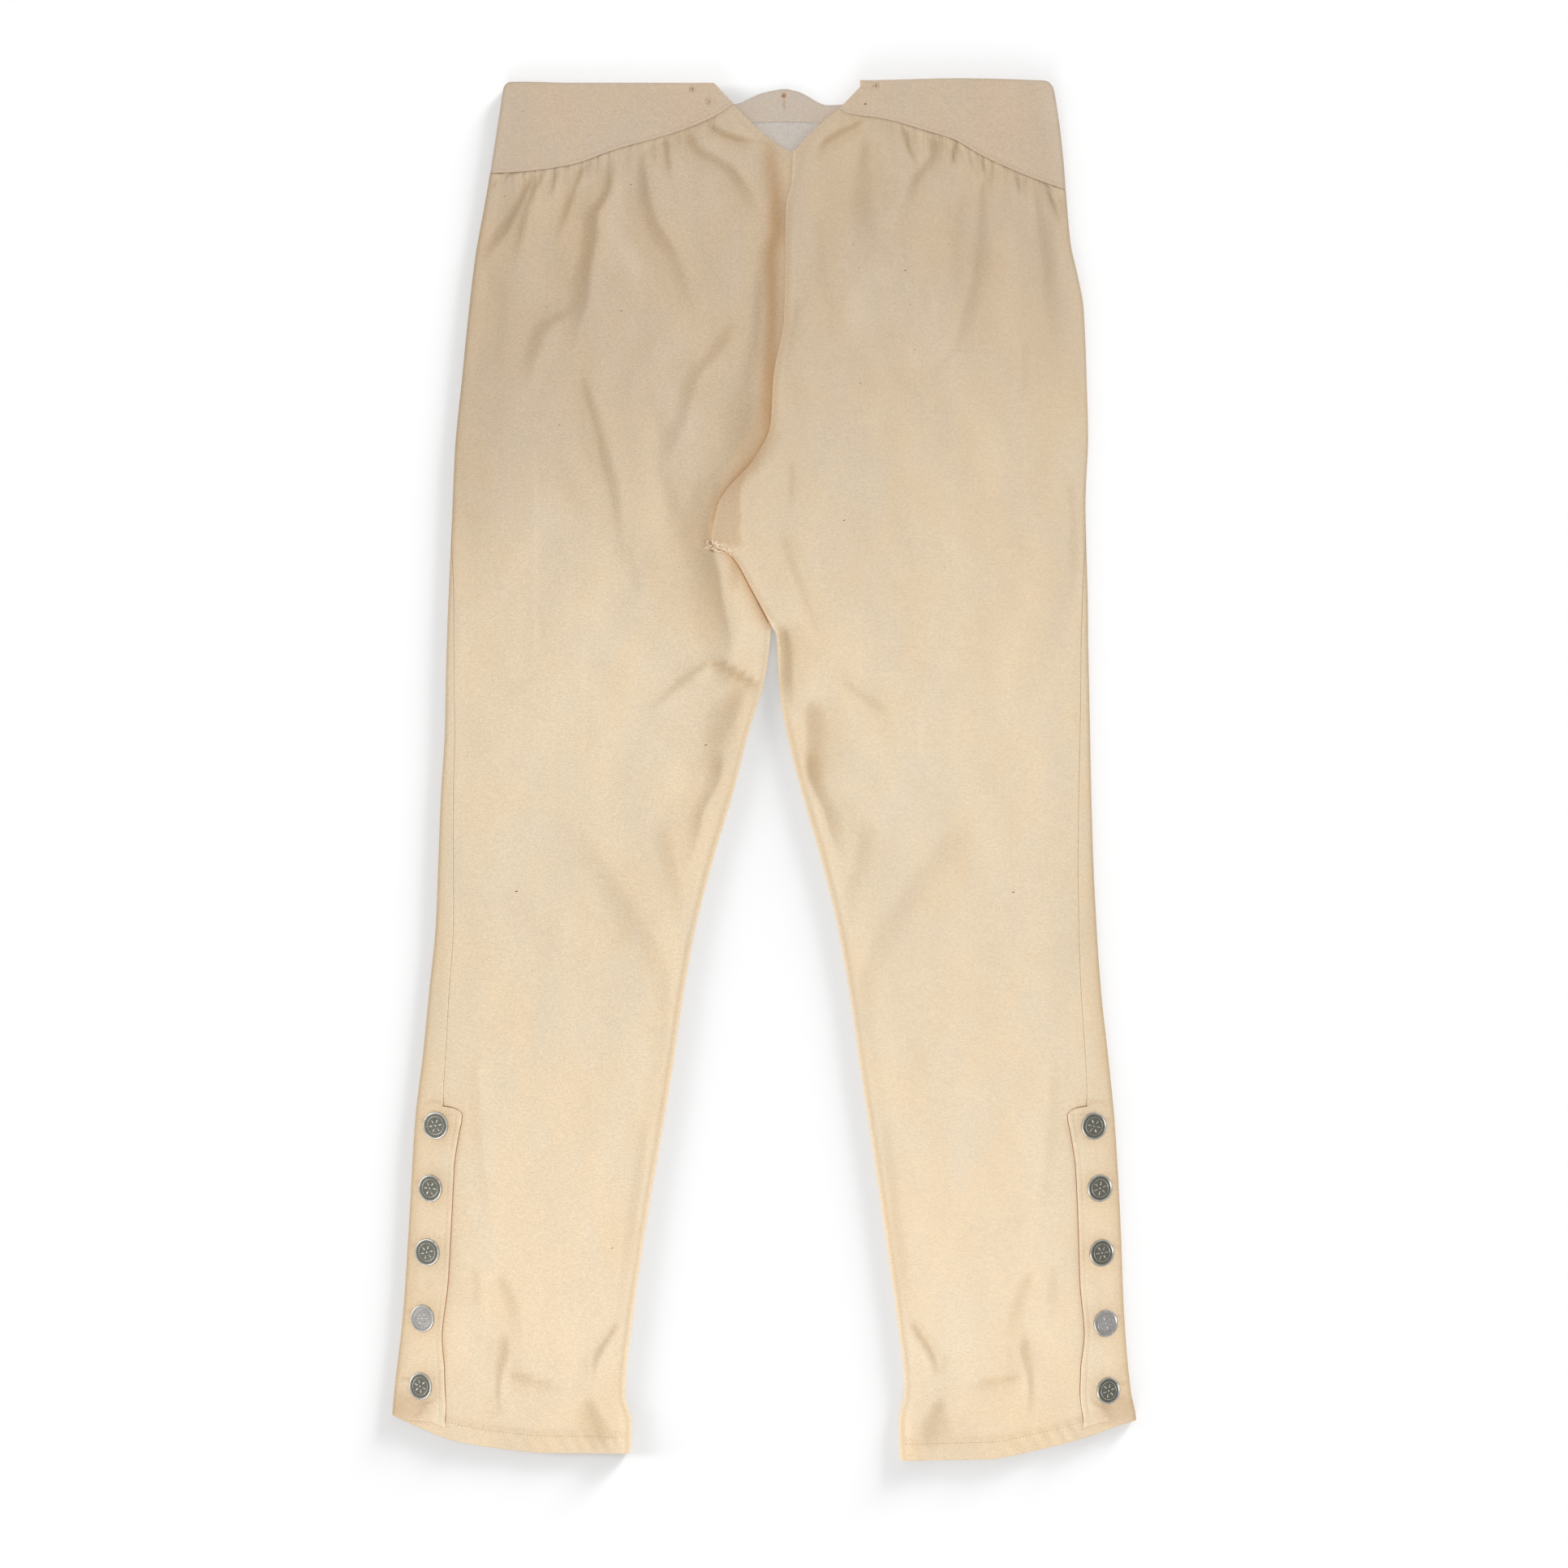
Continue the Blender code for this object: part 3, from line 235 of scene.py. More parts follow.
# A fold is a slope: points along its middle with its width there, how steep it is, and its lean, below 1 where its
# upper edge is the crisp one and above 1 where its foot is. It is drawn downwards and falls to the outer side.
Fold = namedtuple("Fold", "path slope lean", defaults=(1.0,))
LEFT_FOLDS = table(
    Fold,
    (((-100, 322, 9), (-94, 270, 17), (-87, 220, 18), (-80, 170, 18), (-72, 118, 14)), -0.16),
    (((-203, 466, 4), (-208, 457, 5), (-214, 446, 5)), 0.5),
    (((-179, 466, 4), (-184, 451, 5.5), (-194, 432, 9), (-204, 417, 10), (-213, 406, 11), (-222, 391, 11),
      (-229, 376, 9)), 0.34),
    (((-170, 466, 4), (-179, 449, 5), (-184, 436, 6), (-189, 418, 7), (-193, 401, 6.5), (-197, 380, 6)), 0.33),
    (((-158, 468, 3), (-164, 452, 4), (-170, 437, 4)), 0.29),
    (((-138, 474, 4.5), (-145.5, 455, 5), (-151, 441, 5.5), (-155, 430, 6), (-160, 416, 7.5), (-166, 396, 10)), 0.34),
    (((-134.5, 474, 2.5), (-136, 461, 3)), 0.24),
    (((-119, 482, 7), (-121, 462, 8), (-122.5, 449, 9), (-128.5, 438.5, 10), (-135, 431, 12.5), (-136, 414.5, 14),
      (-140.5, 389, 16), (-145.5, 363, 17.5), (-149, 346, 16), (-153, 325, 14), (-160, 306, 12)), 0.42, 0.85),
    (((-96, 488, 6.5), (-95.5, 455.5, 10), (-93, 436.5, 11), (-88, 419.5, 12.5), (-80, 408, 14), (-72, 397, 12.5),
      (-65.5, 378, 12), (-60, 358, 11), (-57, 342, 9)), 0.3, 0.8),
    (((-86, 486, 3), (-84.5, 464, 3.5)), 0.21),
    (((-77, 492, 4.5), (-75, 471, 5), (-73, 452, 4.5)), 0.41),
    (((-67, 496, 2.5), (-65.5, 481, 3)), 0.24),
    (((-62, 500, 6), (-57, 485, 9), (-50.5, 477.5, 9), (-36.5, 471, 7.5), (-25, 462.5, 10), (-17.5, 450, 11),
      (-10, 436, 10), (-5, 418, 7.5)), 0.33),
    (((-46, 503, 3), (-36.5, 494, 5), (-26.5, 489.5, 5.5), (-11, 486.5, 4), (4, 485, 3)), 0.54),
    (((-2.5, 400, 5), (-6.5, 358, 10), (-7.5, 326, 15), (-12.5, 295, 21), (-19, 263, 27), (-23.5, 232, 28),
      (-33, 190, 28)), 0.24),
    (((-21, 352, 9), (-33, 332.5, 11), (-45.5, 316, 11), (-57, 306, 12.5), (-62, 288.5, 12.5), (-65.5, 270, 14),
      (-77, 252, 16), (-84, 232, 15), (-86, 212, 12)), 0.23),
    (((-86, 258, 5), (-86, 238, 10), (-78, 224, 12.5), (-69, 206.5, 14), (-63, 181, 14), (-60, 152, 10)), 0.09, 1.4),
    (((-143, 314, 5), (-137.5, 292, 8), (-131, 273, 9), (-126, 254, 10), (-121.5, 235, 11), (-116.5, 216, 11),
      (-113.5, 197, 10), (-112, 172, 9), (-109, 148, 7)), 0.29, 1.5),
    (((-109, 180, 7), (-103.5, 159.5, 9), (-99.5, 140.5, 10), (-96, 113, 9)), 0.1),
    (((-145, 357, 9), (-162, 350, 10), (-175, 342, 12.5), (-180, 326, 14), (-184, 310.5, 12.5),
      (-188, 286, 10)), 0.25),
    (((-203, 385, 8), (-204, 340, 11), (-210, 290, 12)), 0.07),
    (((-40, 242, 14), (-48, 218, 22), (-53, 196, 26), (-56, 176, 26), (-52, 156, 29), (-46, 134, 31), (-42, 115, 29),
      (-40, 99.5, 26), (-37, 84, 22), (-31, 68, 15), (-26, 54, 9)), 0.39, 0.6),
    (((-39, 85, 4), (-51.5, 78, 7.5), (-63, 69.5, 9), (-75.5, 58, 7.5), (-93, 43, 6)), 0.3, 1.5),
    (((-44, 85, 5), (-33, 80, 7), (-21.5, 73, 8), (-7.5, 64.5, 8), (-1, 61, 7), (6, 58, 6)), 0.8, 0.7),
    (((-14, 66, 8), (-25, 54, 20), (-34, 39.5, 25), (-39, 24, 24), (-40, 4, 20), (-42, -18, 14)), 0.36),
)
RIGHT_FOLDS = table(
    Fold,
    (((238, 232, 8), (241, 195, 11), (241, 155, 11), (239, 112, 9)), 0.12),
    (((79, 504, 3), (68, 498, 5), (58, 492.5, 5.5), (48, 487, 6), (43, 479, 7.5), (44, 467, 6)), 0.44),
    (((78, 497, 5), (79, 482.5, 8), (77, 471, 9), (75.5, 462, 14), (77, 446, 22), (78, 427, 22), (78, 408, 20),
      (78, 388, 15)), 0.15, 1.2),
    (((108, 500, 4), (110.5, 485, 5.5), (115.5, 474, 5.5), (119, 464, 4)), 0.38),
    (((130.5, 496, 7), (133, 480, 10), (130, 470, 9), (121, 462.5, 9), (116, 452, 9), (113, 440, 7.5),
      (110, 426, 5)), 0.3),
    (((149, 487, 2.5), (146, 475, 3), (145.5, 465, 2.5)), 0.5),
    (((154, 450, 7.5), (151, 421, 11), (149, 389, 12.5), (145, 362, 10)), 0.09),
    (((177.5, 479, 5), (176, 458.5, 6), (170, 445, 10), (170, 424, 11), (170.5, 405, 12.5), (168, 386, 14),
      (164, 369, 12.5), (160, 353, 12.5), (156, 338, 11), (148, 324, 9), (137.5, 311, 7), (124, 298, 6),
      (108, 286, 5)), 0.17, 0.75),
    (((168.5, 477, 2.5), (169.5, 460, 2.5)), 0.33),
    (((193, 469, 3), (196.5, 453.5, 4), (199.5, 440, 3)), 0.38),
    (((201.5, 465, 2.5), (203.5, 448, 2.5)), 0.24),
    (((207.5, 464, 4), (211, 445, 5), (215.5, 427, 8), (218.5, 405, 11), (222, 380, 12.5), (224, 358, 14),
      (227, 338, 12.5), (228, 314, 10)), 0.16, 0.75),
    (((216, 461, 3), (221, 445, 4.5), (226, 433.5, 5), (231.5, 416, 4.5)), 0.35),
    (((225, 457, 3), (229.5, 442, 3), (234, 427, 3)), 0.29),
    (((201.5, 335, 6), (202, 310.5, 8), (201.5, 280, 6)), 0.1),
    (((41.5, 438, 7.5), (43, 414.5, 10), (43, 392.5, 10), (48, 370.5, 11), (53, 345, 12.5),
      (58, 318, 10)), 0.06, 1.5),
    (((27, 369, 4), (24, 348.5, 5.5), (19.5, 327.5, 5.5), (15, 299, 5)), 0.14),
    (((21, 241, 4.5), (22, 219, 5.5), (19, 195, 4.5)), 0.17),
    (((14, 190, 5), (17.5, 169, 6), (24, 152.5, 7.5), (33, 132, 8), (42, 106, 9), (56, 80, 7.5)), 0.13),
    (((58, 71.5, 4), (68, 63, 6), (79.5, 55.5, 9), (91, 48, 10), (106, 37, 7.5)), 0.19, 0.8),
    (((11, 114, 6), (16, 101, 12), (18.5, 89.5, 14), (17.5, 73, 12), (17, 54, 10), (19, 38, 8)), 0.56),
    (((37.5, 58, 9), (40, 43, 16), (41, 27, 19), (40, 8, 19), (42, -12, 16), (45, -30, 11)), 0.34),
)
# Both lower legs lie alike: here x is the distance from the garment's middle.
LOWER_FOLDS = table(
    Fold,
    (((190, -420, 10), (196, -450, 18), (190, -485, 18), (186, -512, 12)), 0.07),
    (((92, -262, 8), (101, -330, 11), (109, -400, 11), (115, -455, 9)), 0.13),
    (((37, 18, 13), (39, -1, 14), (43.5, -15, 10), (50, -26.5, 11), (55, -39, 14), (57.5, -51.5, 12), (61, -66, 10),
      (66, -84, 8)), 0.32, 0.7),
    (((83, -36, 13), (80, -58, 16), (75, -74, 15), (70, -89.5, 13), (67, -110, 11), (70, -130, 8)), 0.13),
    (((168, -29, 16), (155.5, -48.5, 22), (141.5, -65.5, 24), (126.5, -83, 23), (114, -103, 23), (100, -121, 23),
      (90, -139, 21), (82, -159, 18), (79, -184, 15), (82, -209, 13), (86, -234, 12), (91, -262, 12),
      (97, -300, 12)), 0.11),
    (((226, -215, 6), (225, -253, 9), (222.5, -297, 10), (217.5, -335, 10), (213.5, -375, 9)), 0.09),
    (((225, -383, 5), (223, -401, 9), (223.5, -417, 10), (225, -428, 5)), 0.11),
    (((208, -389, 7), (197, -411, 12), (192, -438, 11)), 0.17),
    (((203.5, -434, 6), (202, -452, 10), (206.5, -466, 7.5), (207, -483, 5.5), (205.5, -502, 5),
      (206, -516, 4)), 0.27),
    (((202, -468.5, 5), (187, -473.5, 9), (168, -477.5, 7.5), (149, -483, 5)), 0.3, 0.7),
    (((112, -427, 4), (120, -439.5, 5.5), (128, -451, 6), (133, -464, 5.5), (131.5, -479, 4.5)), 0.36, 1.4),
    (((142, -452, 5), (139, -466, 7.5), (136.5, -479, 5)), 0.08),
    (((137, -484, 5), (135, -499, 18), (133, -510, 28), (132, -522, 32), (132, -540, 32)), 0.3),
)

Button = namedtuple("Button", "x y lean turn")
LEFT_BUTTONS = table(
    Button,
    (-254.5, -275.5, 20, 10), (-258.5, -324, 27, -4), (-261, -373.5, 22, 14), (-264.5, -424.5, 28, 3),
    (-266, -477, 31, -20),
)
RIGHT_BUTTONS = table(
    Button,
    (255, -276, 20, -12), (259.5, -324, 22, 20), (261, -374, 24, 6), (264, -428.5, 26, -8), (266, -480.5, 28, 17),
)

# Small folds of the flap, drawn from its free edge outwards.
LEFT_FLAP_FOLDS = table(
    Fold,
    (((-249, -393, 4), (-258, -397, 6), (-268, -405, 6)), 0.29),
    (((-251, -487, 3), (-262, -491, 5), (-276, -494, 6)), 0.41),
    (((-260, -490, 3), (-268, -500, 5), (-277, -508, 5)), 0.33),
)
RIGHT_FLAP_FOLDS = table(
    Fold,
    (((249, -395, 4), (258, -400, 6), (268, -408, 6)), 0.29),
    (((251, -489, 3), (262, -493, 5), (276, -497, 6)), 0.41),
    (((260, -493, 3), (268, -502, 5), (277, -510, 5)), 0.33),
)

# The line where the seam allowances beside the crotch seam stop.
Allowance = namedtuple("Allowance", "y x")
ALLOWANCES = table(Allowance, (174.5, -18.3), (214.2, -18.3), (255.8, 4.4), (264, 8))

Eyelet = namedtuple("Eyelet", "x y size")
LEFT_EYELETS = table(Eyelet, (-56.1, 527.0, 1.5), (-43.5, 517.5, 1.7))
RIGHT_EYELETS = table(Eyelet, (86.5, 529.6, 1.5), (78.1, 515.5, 1.5))

Leg = namedtuple("Leg", "side sections hem lower upper vent end folds shoulder buttons flap_folds eyelets")
LEFT = Leg(-1, LEFT_LEG, LEFT_HEM, LEFT_BAND_LOWER, LEFT_BAND_UPPER, LEFT_VENT, -24, LEFT_FOLDS, 22.0, LEFT_BUTTONS,
           LEFT_FLAP_FOLDS, LEFT_EYELETS)
RIGHT = Leg(1, RIGHT_LEG, RIGHT_HEM, RIGHT_BAND_LOWER, RIGHT_BAND_UPPER, RIGHT_VENT, 58, RIGHT_FOLDS, 40.0,
            RIGHT_BUTTONS, RIGHT_FLAP_FOLDS, RIGHT_EYELETS)
LEGS = ((LEFT, "left"), (RIGHT, "right"))

# Flecks of dirt and lint on the cloth, seen from above.
Fleck = namedtuple("Fleck", "x y length turn")
FLECKS = table(
    Fleck,
    (-103.3, 453, 1.5, 30), (-110.9, 354.7, 1.5, 80), (-168.8, 357.8, 1.2, 10), (-201.6, 444, 1.4, 60),
    (109, 386.2, 2.2, 5), (68.7, 406.3, 1.2, 40), (143, 406.3, 1.0, 0), (73.5, 388, 1.0, 70), (112.8, 359.7, 1.1, 90),
    (116.5, 325, 1.3, 85), (74.3, 298.6, 1.2, 50), (-158.8, 266.5, 1.3, 0), (-192.2, -94.5, 3.0, 5),
    (192.8, -95.1, 2.6, -5), (-45.4, 18.9, 2.4, 10), (61.7, 192.8, 2.2, 20), (-118, -371, 1.8, 60),
    (-187.7, 509.7, 1.2, 0),
)

# Half-sections of a button's parts, with heights from the top of its shank.
BUTTON_BACK = ((SHANK_RADIUS, -0.8), (2.6, 0.0), (6.0, 0.15), (9.4, 0.4), (10.4, 0.9), (10.75, 1.4), (10.6, 1.75))
BUTTON_RIM = ((10.6, 1.75), (10.55, 2.1), (10.3, 2.45), (9.9, 2.6), (9.5, 2.55), (9.2, 2.25), (9.05, 1.8))
BUTTON_FIELD = ((9.05, 1.8), (8.6, 1.75), (6.0, 1.95), (3.0, 2.1), (0.0, 2.15))


# Curves through the tables
def mix(start, stop, share):
    return start + (stop - start) * share


def ease(share):
    """Smooth step from 0 to 1."""
    share = np.clip(share, 0.0, 1.0)
    return share * share * (3 - 2 * share)


def bump(distance, width):
    return np.exp(-((distance / width) ** 2))


@lru_cache(maxsize=None)
def curve(rows, name):
    """Keys, values and slopes of a table's column, limited so that the curve never overshoots its rows."""
    ordered = sorted(rows)
    keys = np.array([row[0] for row in ordered], float)
    values = np.array([getattr(row, name) for row in ordered], float)
    secants = np.diff(values) / np.diff(keys)
    before, after = secants[:-1], secants[1:]
    same_way = before * after > 0
    total = np.where(same_way, before + after, 1.0)
    middle = np.where(same_way, 2 * before * after / total, 0.0)
    return keys, values, np.concatenate((secants[:1], middle, secants[-1:]))


def read(rows, name, place):
    """Values of a table's column at places between its rows, on a smooth curve."""
    keys, values, slopes = curve(rows, name)
    place = np.clip(np.asarray(place, float), keys[0], keys[-1])
    row = np.clip(np.searchsorted(keys, place) - 1, 0, len(keys) - 2)
    run = keys[row + 1] - keys[row]
    share = (place - keys[row]) / run
    return (
        (2 * share**3 - 3 * share**2 + 1) * values[row]
        + (share**3 - 2 * share**2 + share) * slopes[row] * run
        + (3 * share**2 - 2 * share**3) * values[row + 1]
        + (share**3 - share**2) * slopes[row + 1] * run
    )


def curl(length, whole, angle):
    """Run and drop after a length of cloth that turns down evenly by an angle over its whole length."""
    bend = np.maximum(angle, STRAIGHT) / whole
    return np.sin(bend * length) / bend, (1 - np.cos(bend * length)) / bend


def turn_under(length, radius):
    """Run and drop along a fold that turns right round and comes back underneath itself."""
    half = math.pi * radius
    on_fold = np.minimum(length, half)
    run = np.where(length <= half, radius * np.sin(on_fold / radius), half - length)
    return run, radius * (1 - np.cos(on_fold / radius))


def stretch(place, start, rise, stop, fall):
    """1 along a stretch, after growing from 0 over its rise, and 0 again after its fall."""
    return ease((place - start) / rise) * ease((stop - place) / fall)


# The outline of each leg, and how high its back panel lies
def outer_start(leg, y):
    return read(leg.sections, "outer", y) - leg.side * (ROLL + CLOTH / 2)


def from_outer(leg, x, y):
    return (outer_start(leg, y) - x) * leg.side


def joined(y):
    """0 along the legs, and 1 from the crotch up, where they are one."""
    return ease((y - CROTCH) / LAP_RUN + 1)


def open_leg(leg, y):
    """0 along the legs, and 1 where the two back panels lap at the centre."""
    return joined(y) if leg.side < 0 else ease((y - CROTCH) / FOLD_RUN)


def inner(leg, y):
    centre = read(CENTRE_BACK, "x", y)
    if leg.side < 0:
        centre = centre + UNDERLAP * ease((y - CROTCH) / UNDERLAP_RUN)
    return np.where(y <= CROTCH, read(leg.sections, "inner", y), centre)


def inner_bend(leg, y):
    share = open_leg(leg, y)
    if leg.side > 0:
        radius = mix(ROLL, CENTRE_ROLL, ease(share / 0.3))
        return radius, radius
    return ROLL, curl(QUARTER, QUARTER, math.pi / 2 * (1 - share))[0]


def inner_start(leg, y):
    cover = CLOTH / 2
    if leg.side < 0:
        cover = cover * (1 - open_leg(leg, y))
    return inner(leg, y) + leg.side * (cover + inner_bend(leg, y)[1])


def from_inner(leg, x, y):
    return (x - inner_start(leg, y)) * leg.side


def inner_height(leg, y):
    lap = read(CENTRE_BACK, "lap", y)
    if leg.side > 0:
        return mix(FLAT_TOP, lap, joined(y))
    return mix(FLAT_TOP, lap - CENTRE_DROP, ease((y - CROTCH) / LEFT_DROP_RUN + 1))


def flap_lift(y):
    return FLAP_LIFT * ease((DIP_TOP - y) / DIP_RUN)


def band_height(leg, x, y):
    return BAND / 2 + 2 * ROLL + BAND_CROWN * ease(from_outer(leg, x, y) / BAND_SHOULDER)


def tuck_share(leg, x):
    side = from_outer(leg, x, read(leg.lower, "y", x))
    return ease((side - TUCK_SIDE) / TUCK_RUN) * ease((leg.side * (x - leg.end)) / TUCK_END_RUN)


def in_vent(leg, x):
    return leg.side * (x - leg.end) < 0


def top_line(leg, x):
    """Upper edge of a back panel, seen from above."""
    gathered = read(leg.lower, "y", x) + mix(-3 * SEAM, TUCK, tuck_share(leg, x))
    return np.where(in_vent(leg, x), read(leg.vent, "y", x), gathered)


def top_height(leg, x, y):
    under = BAND / 2 + 2 * SEAM + CLOTH / 2
    share = ease((leg.end - x) * leg.side / VENT_SHOULDER)
    vent = mix(band_height(leg, leg.end, y) - under, inner_height(leg, y), share)
    tucked = band_height(leg, x, y) - mix(SEAM, under, ease(from_outer(leg, x, y) / TUCK_SIDE))
    return np.where(in_vent(leg, x), vent, tucked)


@lru_cache(maxsize=None)
def trace(fold, side):
    """Points along a fold's smooth middle line, with their widths and how far along they are."""
    line = np.array(fold.path, float) * (side, 1.0, 1.0)
    for _ in range(CORNER_CUTS):
        cut = np.stack((mix(line[:-1], line[1:], 0.25), mix(line[:-1], line[1:], 0.75)), axis=1).reshape(-1, 3)
        line = np.concatenate((line[:1], cut, line[-1:]))
    gone = np.concatenate(([0.0], np.cumsum(np.hypot(*np.diff(line[:, :2], axis=0).T))))
    return line, gone / gone[-1]


def fold_shape(leg, fold, mirrored, x, y):
    """How far a fold lowers the cloth, and how much of its slope is at each place."""
    line, shares = trace(fold, leg.side if mirrored else 1)
    reach = FOLD_REACH * line[:, 2].max()
    near = (x > line[:, 0].min() - reach) & (x < line[:, 0].max() + reach)
    near &= (y > line[:, 1].min() - reach) & (y < line[:, 1].max() + reach)
    drop, slope = np.zeros(x.shape), np.zeros(x.shape)
    if not near.any():
        return drop, slope
    here_x, here_y = x[near], y[near]
    nearest = np.full(here_x.shape, np.inf)
    aside, width, along = np.zeros((3, *here_x.shape))
    for start, stop, first, last in zip(line, line[1:], shares, shares[1:]):
        run = (stop - start)[:2]
        gap_x, gap_y = here_x - start[0], here_y - start[1]
        share = np.clip((gap_x * run[0] + gap_y * run[1]) / (run @ run), 0, 1)
        gap = np.hypot(gap_x - share * run[0], gap_y - share * run[1])
        closer = gap < nearest
        nearest = np.where(closer, gap, nearest)
        aside = np.where(closer, leg.side * np.sign(run[0] * gap_y - run[1] * gap_x) * gap, aside)
        width = np.where(closer, mix(start[2], stop[2], share), width)
        along = np.where(closer, mix(first, last, share), along)
    width = width * (1 + 0.12 * np.sin(here_y / 9.3 + here_x / 11))
    strength = fold.slope * width * ease(along / FOLD_START) * ease((1 - along) / FOLD_STOP)
    place = np.clip(aside / width + 0.5, 0, 1) ** (FOLD_LEAN * fold.lean)
    away = np.maximum(aside - width / 2, 0) / (FOLD_RECOVERY * width)
    before = np.maximum(-aside - width / 2, 0) / width
    broad = np.clip(aside / (FOLD_SPREAD * width) + 0.35, 0, 1)
    fallen = mix(ease(place), ease(broad), FOLD_SOFT)
    fallen = mix(-FOLD_CREST * np.exp(-before) * ease((3.5 - before) / 2), 1 - FOLD_CREST, fallen)
    drop[near] = strength * fallen * np.exp(-away) * ease((RECOVERY_END - away) / 2)
    slope[near] = strength / width * 4 * mix(place * (1 - place), broad * (1 - broad), FOLD_SOFT)
    return drop, slope


def creases(leg, x, y):
    """All the folds of a back panel: how far they lower it, and how dark their slopes are."""
    made = [fold_shape(leg, fold, False, x, y) for fold in leg.folds]
    made += [fold_shape(leg, fold, True, x, y) for fold in LOWER_FOLDS]
    drop, slope = (sum(part) for part in zip(*made))
    return drop, np.minimum(slope / DARKEST, 1.0)


def drape(leg, x, y):
    """How far broad and small soft swells lift cloth that doesn't lie quite flat, most at the seat."""
    across = leg.side * x
    swell = np.sin(across / 12.5 + 1.6 * np.sin(y / 52 + leg.side) + 0.7 * np.sin(x / 31))
    swell = swell * np.sin(y / 43 + 1.2 * np.sin(across / 33 + 2.1) + leg.side)
    small = np.sin(across / 6.7 + 1.9 * np.sin(y / 24) + y / 90) * np.sin(y / 19 + 1.4 * np.sin(across / 15))
    return (0.9 * swell + 0.34 * small) * mix(0.6, 1.0, ease((y + 300) / 500))


def panel_height(leg, x, y):
    """Mid-wall height of a back panel without its fine unevenness."""
    side = np.maximum(from_outer(leg, x, y), 0.0)
    centre = np.maximum(from_inner(leg, x, y), 0.0)
    shoulder = mix(INNER_SHOULDER, leg.shoulder, open_leg(leg, y))
    near_centre = ease(centre / shoulder)
    level = mix(inner_height(leg, y), FLAT_TOP - flap_lift(y), near_centre)
    level = level + read(leg.sections, "crown", y) * ease(side / SHOULDER) * near_centre
    below = top_line(leg, x) - y
    level = mix(top_height(leg, x, y), level, ease((below - TUCK_END) / TUCK_RISE))
    calm = ease(side / EDGE_CALM) * ease(centre / CENTRE_CALM) * ease((below - TUCK_END + 2) / TUCK_FADE)
    room = np.maximum(level - LOWEST, 0.3)
    return level - room * np.tanh((creases(leg, x, y)[0] - drape(leg, x, y)) * calm / room)


# Fine unevenness of the cloth
def unevenness(x, y):
    """The slight waviness of cloth that was worn and then smoothed out by hand."""
    broad = np.sin(x / 17 + 1.3 * np.sin(y / 41)) * np.sin(y / 29 + 0.8 * np.sin(x / 23))
    small = np.sin(x / 7.3 + y / 19) * np.sin(y / 11.7 - x / 31)
    return 0.24 * broad + 0.08 * small


def hem_relief(leg, x, y):
    """The turned-up hem: a sewn groove with small slanting puckers below it."""
    above = y - read(leg.hem, "y", x)
    ripple = np.sin((x + 0.7 * above) / 1.9 + 2.2 * np.sin(x / 19)) * (0.6 + 0.4 * np.sin(x / 31))
    puckers = 0.45 * ripple * ease(above / 3) * (1 - ease((above - HEM_STITCHES) / 7))
    groove = 0.45 * bump(above - HEM_STITCHES, 0.9)
    turned = 0.4 * (1 - ease((above - HEM_STITCHES + 0.6) / 1.2))
    bare = ease((from_outer(leg, x, y) - side_inset(y) + QUARTER) / 3)
    return (turned + puckers - groove) * bare


def outer_gathers(x):
    """0 at the centre back and 1 towards both sides, where the gathers go deeper."""
    return ease((np.abs(x) - OUTER_GATHERS) / OUTER_RUN)


def waist_puckers(leg, x, y):
    """Tiny gathers right under the waistband, between the large ones."""
    below = top_line(leg, x) - TUCK - y
    phase = (x - 0.35 * leg.side * below) / 1.15 + 3.1 * np.sin(x / 9.7) + 1.5 * np.sin(x / 4.1)
    ripple = np.sin(phase) + 0.3 * np.sin(2 * phase + 1)
    uneven = 0.55 + 0.45 * np.sin(x / 13 + 2)
    outer = outer_gathers(x)
    calm = ease((below + 2) / 3) * np.exp(-np.maximum(below, 0) / mix(8, 15, outer * uneven))
    return mix(0.25, 0.5, outer) * ripple * uneven * calm * tuck_share(leg, x)


def crotch_step(x, y):
    """The seam allowances under the right panel beside the crotch seam, which stop along a line."""
    beyond = 1 - ease((x - read(ALLOWANCES, "x", y)) / 1.6 + 0.5)
    return beyond * stretch(y, 170, 5, 262, 14)


def back_height(leg, x, y):
    level = panel_height(leg, x, y)
    edge = ease(np.maximum(from_outer(leg, x, y), 0) / 4) * ease(np.maximum(from_inner(leg, x, y), 0) / 4)
    level = level + edge * (unevenness(x, y) + hem_relief(leg, x, y) + waist_puckers(leg, x, y))
    if leg.side > 0:
        level = level - ALLOWANCE_STEP * crotch_step(x, y)
    return level


# Round the outer edge of a leg
def side_x(leg, y, length):
    """x round a leg's outer edge and on over the leg, a length up from its outermost line."""
    start = outer_start(leg, y)
    return np.where(length > QUARTER, start - leg.side * (length - QUARTER),
                    start + leg.side * ROLL * np.cos(np.minimum(length, QUARTER) / ROLL))


def side_point(leg, y, length):
    """x and z there: a half ring round the edge that goes over into the back panel."""
    x = side_x(leg, y, length)
    over = back_height(leg, np.where(length > QUARTER, x, outer_start(leg, y)), y)
    middle = CLOTH / 2 + ROLL
    up = np.sin(np.minimum(length, QUARTER) / ROLL)
    return x, np.where(length > 0, mix(middle, over, up), middle + ROLL * up)


def side_inset(y):
    return read(SIDE_SEAM, "inset", y)


def wrapped_point(leg, y, length):
    """The same for the front panel, which adds the flap's own form on top."""
    x, z = side_point(leg, y, length)
    on_top = np.sin(np.clip(length / ROLL, 0, math.pi / 2))
    return x, z + on_top * (flap_lift(y) + flap_relief(leg, x, y, length))


def back_inset(y):
    seam = side_inset(np.maximum(y, FLAP_TOP)) + SEAM / 2
    return mix(seam, STAND_INSET, ease((FLAP_TOP - y) / STAND_RUN))


